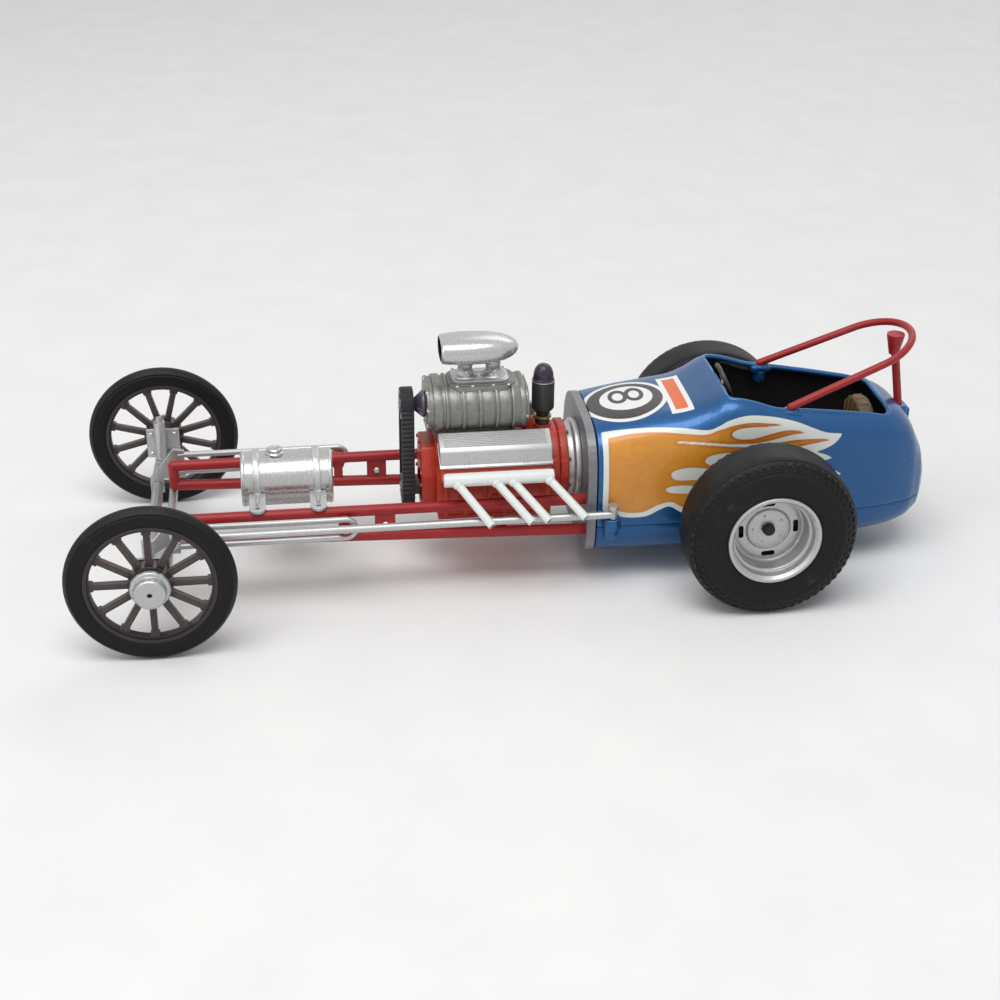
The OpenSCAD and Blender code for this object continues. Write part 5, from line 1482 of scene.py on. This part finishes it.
def makeCarburettors():
    k = blowerLook
    x0 = axleX + k["start"]
    deck = k["z"] + k["height"] / 2 + 0.5
    shapes = [slab(roundedRectangle(x0 + 2.6, -3.0, x0 + 12.8, 3.0, 1.4), deck - 0.05, deck + 0.35, 0.12)]
    for s in (5.1, 10.1):
        bell = turnedSolid([(0, 0), (2.3, 0), (2.25, 0.35), (1.75, 0.75), (1.4, 1.3), (1.3, 1.7),
                            (1.3, 2.1), (1.42, 2.2), (1.42, 2.5), (1.3, 2.6), (1.3, 3.3), (0, 3.3)], 40,
                            0.12, 3)
        shapes.append(moved(bell, x0 + s, 0, deck + 0.1))
        for side in (-1, 1):
            shapes.append(moved(spun(lathe([(0, 0), (0.3, 0), (0.3, 1.2), (0.22, 1.3), (0, 1.3)], 12,
                    closed=False), 90 * side, "X"), x0 + s, -side * 1.0, deck + 1.75))
    link = tube([(x0 + 4.0, -1.7, deck + 1.9), (x0 + 7.6, -1.9, deck + 1.5),
                 (x0 + 11.2, -1.7, deck + 1.9)], 0.16, 8)
    newPiece("carburettor_bells", "chassis", [(joined(*shapes), "silverPaint"),
            (link, "gunmetal")], replaces=("carburettors",))


scoop = {"station": 51.2, "z": 42.0, "wall": 0.5, "rows": [(0, 3.75, 2.2), (0.5, 3.85, 2.28),
        (2, 4.0, 2.42), (4, 4.1, 2.55), (6, 4.05, 2.56), (8, 3.9, 2.5), (10, 3.55, 2.3),
        (11.5, 3.05, 2.02), (12.7, 2.35, 1.58), (13.5, 1.55, 1.05), (13.9, 0.8, 0.55),
        (14.02, 0.02, 0.02)]}


def makeScoop():
    k = scoop
    x0 = axleX + k["station"]
    steps = 48

    def ring(distance, halfY, halfZ):
        return [(x0 + distance, halfY * math.copysign(abs(math.cos(a)) ** 0.8, math.cos(a)),
                 k["z"] + halfZ * math.copysign(abs(math.sin(a)) ** 0.85, math.sin(a)))
                for a in [2 * math.pi * i / steps for i in range(steps)]]
    outer = [ring(d + 0.3 * (1 if d == 0 else 0), y, z) for d, y, z in k["rows"]]
    lip = [ring(0.08, k["rows"][0][1] - 0.1, k["rows"][0][2] - 0.1), ring(0.0, k["rows"][0][1] - 0.3,
            k["rows"][0][2] - 0.3)]
    inner = [ring(max(0.12, d - 0.3), max(0.02, y - k["wall"]), max(0.02, z - k["wall"])) for d, y,
             z in k["rows"][:-3]]
    inner.append(ring(k["rows"][-4][0], 0.02, 0.02))
    rings = list(reversed(outer)) + lip + inner
    points = [p for r in rings for p in r]
    faces = [(r * steps + i, r * steps + (i + 1) % steps, (r + 1) * steps + (i + 1) % steps,
              (r + 1) * steps + i) for r in range(len(rings) - 1) for i in range(steps)]
    split = (len(outer) + len(lip)) * steps
    skin = [f for f in faces if max(f) < split]
    # the inside of the scoop is black: painted shade in its mouth
    inside = [f for f in faces if max(f) >= split]
    newPiece("air_scoop_shell", "chassis", [((points, skin), "brightSilver"),
            ((points, inside), "paintedShadeBlack")], angle=60, replaces=("air_scoop",))


belt = {"x": 44.0, "width": 2.3, "radius": 2.72, "thick": 0.45, "top": 31.6, "low": 15.0, "teeth": 60}


def makeBelt():
    k = belt
    def outlineAt(r):
        pts = [(r * math.cos(a), k["top"] + r * math.sin(a)) for a in np.linspace(0, math.pi, 25)]
        pts += [(r * math.cos(a), k["low"] + r * math.sin(a)) for a in np.linspace(math.pi, 2 * math.pi, 25)]
        return pts
    outer, inner = outlineAt(k["radius"] + k["thick"]), outlineAt(k["radius"])
    x0, x1 = axleX + k["x"], axleX + k["x"] + k["width"]
    count = len(outer)
    bevel = 0.08
    rings = [[(x0, *p) for p in inner], [(x0, *p) for p in outlineAt(k["radius"] + k["thick"] - bevel)],
             [(x0 + bevel, *p) for p in outer], [(x1 - bevel, *p) for p in outer],
             [(x1, *p) for p in outlineAt(k["radius"] + k["thick"] - bevel)], [(x1, *p) for p in inner]]
    points = [p for r in rings for p in r]
    faces = [(r * count + i, r * count + (i + 1) % count, (r + 1) % 6 * count + (i + 1) % count,
              (r + 1) % 6 * count + i) for r in range(6) for i in range(count)]
    # teeth along both edges of the run
    line = outlineAt(k["radius"] + k["thick"] - 0.02)
    closed = np.array(line + [line[0]])
    run = np.concatenate([[0], np.cumsum(np.hypot(*np.diff(closed, axis=0).T))])
    teeth = []
    for i in range(k["teeth"]):
        at = run[-1] * i / k["teeth"]
        y, z = np.interp(at, run, closed[:, 0]), np.interp(at, run, closed[:, 1])
        y2, z2 = np.interp((at + 0.1) % run[-1], run, closed[:, 0]), np.interp((at + 0.1) % run[-1], run,
                closed[:, 1])
        angle = math.atan2(z2 - z, y2 - y)
        tooth = brick((-0.22, -0.06, 0), (0.22, 0.06, k["width"] - 0.3), 0.04)
        teeth.append(moved(alongX(spun(tooth, math.degrees(angle))), x0 + 0.15, y, z))
    newPiece("drive_belt_toothed", "chassis", [((points, faces), "beltBlack"),
            (joined(*teeth), "beltBlack")], replaces=("drive_belt",))
    # pulleys: drums with flanges, hubs and bolts
    for name, z, replaced in (("upper", k["top"], "blower_snout"), ("lower", k["low"], "crank_pulley")):
        drum = turnedSolid([(0, -0.1), (1.3, -0.1), (1.3, 0.25), (2.0, 0.3), (2.1, 0.05), (2.65, 0.05),
                            (2.65, k["width"] - 0.05), (0, k["width"] - 0.05)], 48, 0.08, 2)
        bolts = [spun(moved(spun(boltHead(0.22, 0.16), 180, "Y"), 0.85, 0, -0.08), a)
                 for a in range(0, 360, 60)]
        parts = [(moved(alongX(joined(drum, *bolts)), x0, 0, z), "snoutPurple")]
        if name == "upper":
            snout = turnedSolid([(0, k["width"] - 0.1), (1.1, k["width"] - 0.1),
                                 (1.25, k["width"] + 0.3), (1.5, k["width"] + 0.6),
                                 (2.4, k["width"] + 1.6), (2.45, k["width"] + 2.05),
                                 (0, k["width"] + 2.05)], 48, 0.12, 3)
            parts.append((moved(alongX(snout), x0, 0, z), "snoutPurple"))
        else:
            nose = lathe([(0, k["width"] - 0.1), (1.45, k["width"] - 0.1), (1.45, 3.4), (0, 3.4)], 40,
                         closed=False)
            parts.append((moved(alongX(nose), x0, 0, z), "magnetoGrey"))
        newPiece(f"{name}_pulley_turned", "chassis", parts, replaces=(replaced,))


magneto = {"x": 69.9, "z": 26.8, "radius": 2.05}


def makeMagneto():
    r = magneto["radius"]
    body = turnedSolid([(0, 0), (1.35, 0), (1.35, 0.5), (1.15, 0.7), (1.15, 1.9), (1.35, 2.1),
                        (1.4, 2.6), (r - 0.25, 2.75), (r, 3.1), (r, 8.2), (r - 0.1, 8.35), (0, 8.35)],
                        56, 0.1, 3)
    cap = turnedSolid([(0, 8.2), (r - 0.05, 8.2), (r - 0.05, 8.7), (r - 0.22, 8.9), (r - 0.25, 9.7),
                       (r - 0.5, 10.6), (r - 1.0, 11.25), (r - 1.6, 11.5), (0, 11.55)], 56, 0.25, 3)
    ribs = [spun(moved(brick((-0.1, -0.12, 3.3), (0.1, 0.12, 7.9), 0.05), r - 0.05, 0, 0), a)
            for a in (20, 140, 260)]
    clamp = lathe(soften([(1.1, 1.1), (1.62, 1.1), (1.62, 1.6), (1.1, 1.6)], 0.08, 2), 40)
    seam = lathe(soften([(r - 0.1, 8.28), (r + 0.03, 8.28), (r + 0.03, 8.46), (r - 0.1, 8.46)], 0.04, 2), 56)
    newPiece("magneto_body", "chassis",
             [(moved(joined(body, *ribs), axleX + magneto["x"], 0, magneto["z"]), "magnetoGrey"),
              (moved(cap, axleX + magneto["x"], 0, magneto["z"]), "magnetoCap"),
              (moved(clamp, axleX + magneto["x"], 0, magneto["z"]), "dullBrass"),
              (moved(seam, axleX + magneto["x"], 0, magneto["z"]), "silverPaint")], replaces=("magneto",))


def makeClutchAndWall():
    start, end = boxOf("clutch_housing")
    depth = end.x - start.x
    z = middleOf("clutch_housing").z
    r = (end.y - start.y) / 2
    front = turnedSolid([(0, 0), (r - 0.35, 0), (r, 0.3), (r, 1.5), (r - 0.4, 1.7), (0, 1.7)], 80, 0.15, 3)
    bell = turnedSolid([(0, 1.6), (r - 0.9, 1.6), (r - 0.7, depth - 1.3), (r - 0.1, depth - 1.0),
                        (r, depth - 0.7), (r, depth - 0.1), (r - 0.2, depth), (0, depth)], 80, 0.15, 3)
    ribs = [spun(brick((r - 0.6, -0.28, 0.1), (r + 0.02, 0.28, 1.65), 0.12), 22.5 * i) for i in range(16)]
    bolts = [spun(moved(boltHead(0.4, 0.5), r - 0.75, 0, 1.6), 20 + 45 * i) for i in range(8)]
    newPiece("clutch_housing_bell", "chassis",
             [(moved(alongX(bell), start.x, 0, z), "silverPaint"),
              (moved(alongX(joined(front, *ribs)), start.x, 0, z), "engineRed"),
              (moved(alongX(joined(*bolts)), start.x, 0, z), "magnetoGrey")],
              replaces=("clutch_housing",))


makeEngine()
makeValveCovers()
makeHeaders()
makeBlower()
makeCarburettors()
makeScoop()
makeBelt()
makeMagneto()
makeClutchAndWall()
print("engine made")


# nodes that stay as they are, with small fittings added
kept = {"frame_side_left": ("frameRed", 0.12), "frame_side_right": ("frameRed", 0.12),
        "frame_cross_members": ("frameRed", 0.1), "roll_bar": ("frameRed", 0.0),
        "head_rest": ("frameRed", 0.1), "front_axle": ("silverPaint", 0.08),
        "radius_rod_left": ("silverPaint", 0.1), "radius_rod_right": ("silverPaint", 0.1),
        "knuckle_left": ("silverPaint", 0.08), "knuckle_right": ("silverPaint", 0.08),
        "tie_rod": ("silverPaint", 0.08), "drag_link": ("silverPaint", 0.1),
        "rear_axle": ("silverPaint", 0.1), "tank_straps": ("silverPaint", 0.08),
        "firewall": ("firewallGrey", 0.15)}
for name, (material, bevel) in kept.items():
    keepNode(name, material, bevel)


fittings = {"kingpin": (-0.4, 23.5), "plateOut": 25.5, "plateIn": 24.95, "plateX": 2.2, "plateZ": 2.0,
            "frameBolt": (40.2, 13.6), "frameOut": 11.3, "frameIn": 10.3, "rodBolt": (33.0, 15.15, 14.95)}


def makeFittings():
    f = fittings
    knuckleTop = boxOf("front_axle")[1].z
    for label, side in sides.items():
        pin = (axleX + f["kingpin"][0], side * f["kingpin"][1])
        newPiece(f"kingpin_nut_{label}", "chassis",
                 [(moved(boltHead(0.52, 0.3), pin[0], pin[1], knuckleTop - 0.32), "silverPaint")])
        out = -90 * side
        corners = [(dx, dz) for dx in (-f["plateX"], f["plateX"]) for dz in (-f["plateZ"], f["plateZ"])]
        heads = [moved(spun(boltHead(0.42, 0.35), turn, "X"), axleX + dx, side * y, frontWheelZ + dz)
                 for turn, y in ((out, f["plateOut"]), (-out, f["plateIn"])) for dx, dz in corners]
        newPiece(f"knuckle_bolts_{label}", f"knuckle_{label}",
                 [(joined(*heads), "silverPaint")])
        station, height = f["frameBolt"]
        bolt, inBolt = (moved(spun(boltHead(0.62, 0.45), turn, "X"), axleX + station, side * y, height)
                        for turn, y in ((out, f["frameOut"]), (-out, f["frameIn"])))
        rodX, rodY, rodZ = f["rodBolt"]
        rodBolt = moved(spun(boltHead(0.7, 0.45), out, "X"), axleX + rodX, side * rodY, rodZ)
        newPiece(f"frame_bolts_{label}", "chassis",
                 [(joined(bolt, inBolt, rodBolt), "silverPaint")])


makeFittings()
print("fittings made")


# floor, lamps, world
stageLook = {"dim": (237, 237, 237), "light": (241, 241, 240), "size": 6.0, "world": 0.42}


def makeFloor():
    half = stageLook["size"] / 2
    mesh = bpy.data.meshes.new("floor")
    mesh.from_pydata([(-half, -half, 0), (half, -half, 0), (half, half, 0), (-half, half, 0)], [],
                     [(0, 1, 2, 3)])
    material, tree, shader = startMaterial("floorCloth")
    shader.inputs["Roughness"].default_value = 0.9
    shader.inputs["Specular IOR Level"].default_value = 0.1
    noise = addNode(tree, "ShaderNodeTexNoise", Scale=1.0, Detail=3.0)
    tree.links.new(scaledPlace(tree, 60.0), noise.inputs["Vector"])
    colour = mixColour(tree, remap(tree, noise.outputs["Fac"], 0.3, 0.7), srgb(*stageLook["dim"]),
                       srgb(*stageLook["light"]))
    tree.links.new(colour, shader.inputs["Base Color"])
    mesh.materials.append(material)
    floor = bpy.data.objects.new("floor", mesh)
    bpy.context.scene.collection.objects.link(floor)


lamps = {"top": {"place": (-0.1, -0.25, 0.75), "size": (0.7, 0.4), "watts": 3.9},
         "left": {"place": (-0.7, -0.35, 0.5), "size": (0.5, 0.5), "watts": 1.1},
         "back": {"place": (0.4, 0.6, 0.6), "size": (0.6, 0.4), "watts": 0.9}}


def makeLamps():
    for name, look in lamps.items():
        data = bpy.data.lights.new(name, "AREA")
        data.shape = "RECTANGLE"
        data.size, data.size_y = look["size"]
        data.energy = look["watts"]
        lamp = bpy.data.objects.new(name, data)
        bpy.context.scene.collection.objects.link(lamp)
        lamp.location = look["place"]
        lamp.rotation_euler = (Vector((0, 0, 0.015)) - Vector(look["place"])).to_track_quat("-Z",
                "Y").to_euler()


def makeWorld():
    world = bpy.data.worlds.new("softRoom")
    bpy.context.scene.world = world
    world.use_nodes = True
    tree = world.node_tree
    background = tree.nodes["Background"]
    ray = tree.nodes.new("ShaderNodeLightPath")
    seen = maths(tree, "MAXIMUM", ray.outputs["Is Camera Ray"],
                 maths(tree, "MULTIPLY", ray.outputs["Is Glossy Ray"], 0.8))
    background.inputs["Color"].default_value = (1, 1, 1, 1)
    tree.links.new(remap(tree, seen, 0.0, 1.0, stageLook["world"], 1.0), background.inputs["Strength"])


makeFloor()
makeLamps()
makeWorld()
bpy.context.scene.view_settings.view_transform = "Standard"
print("stage made")
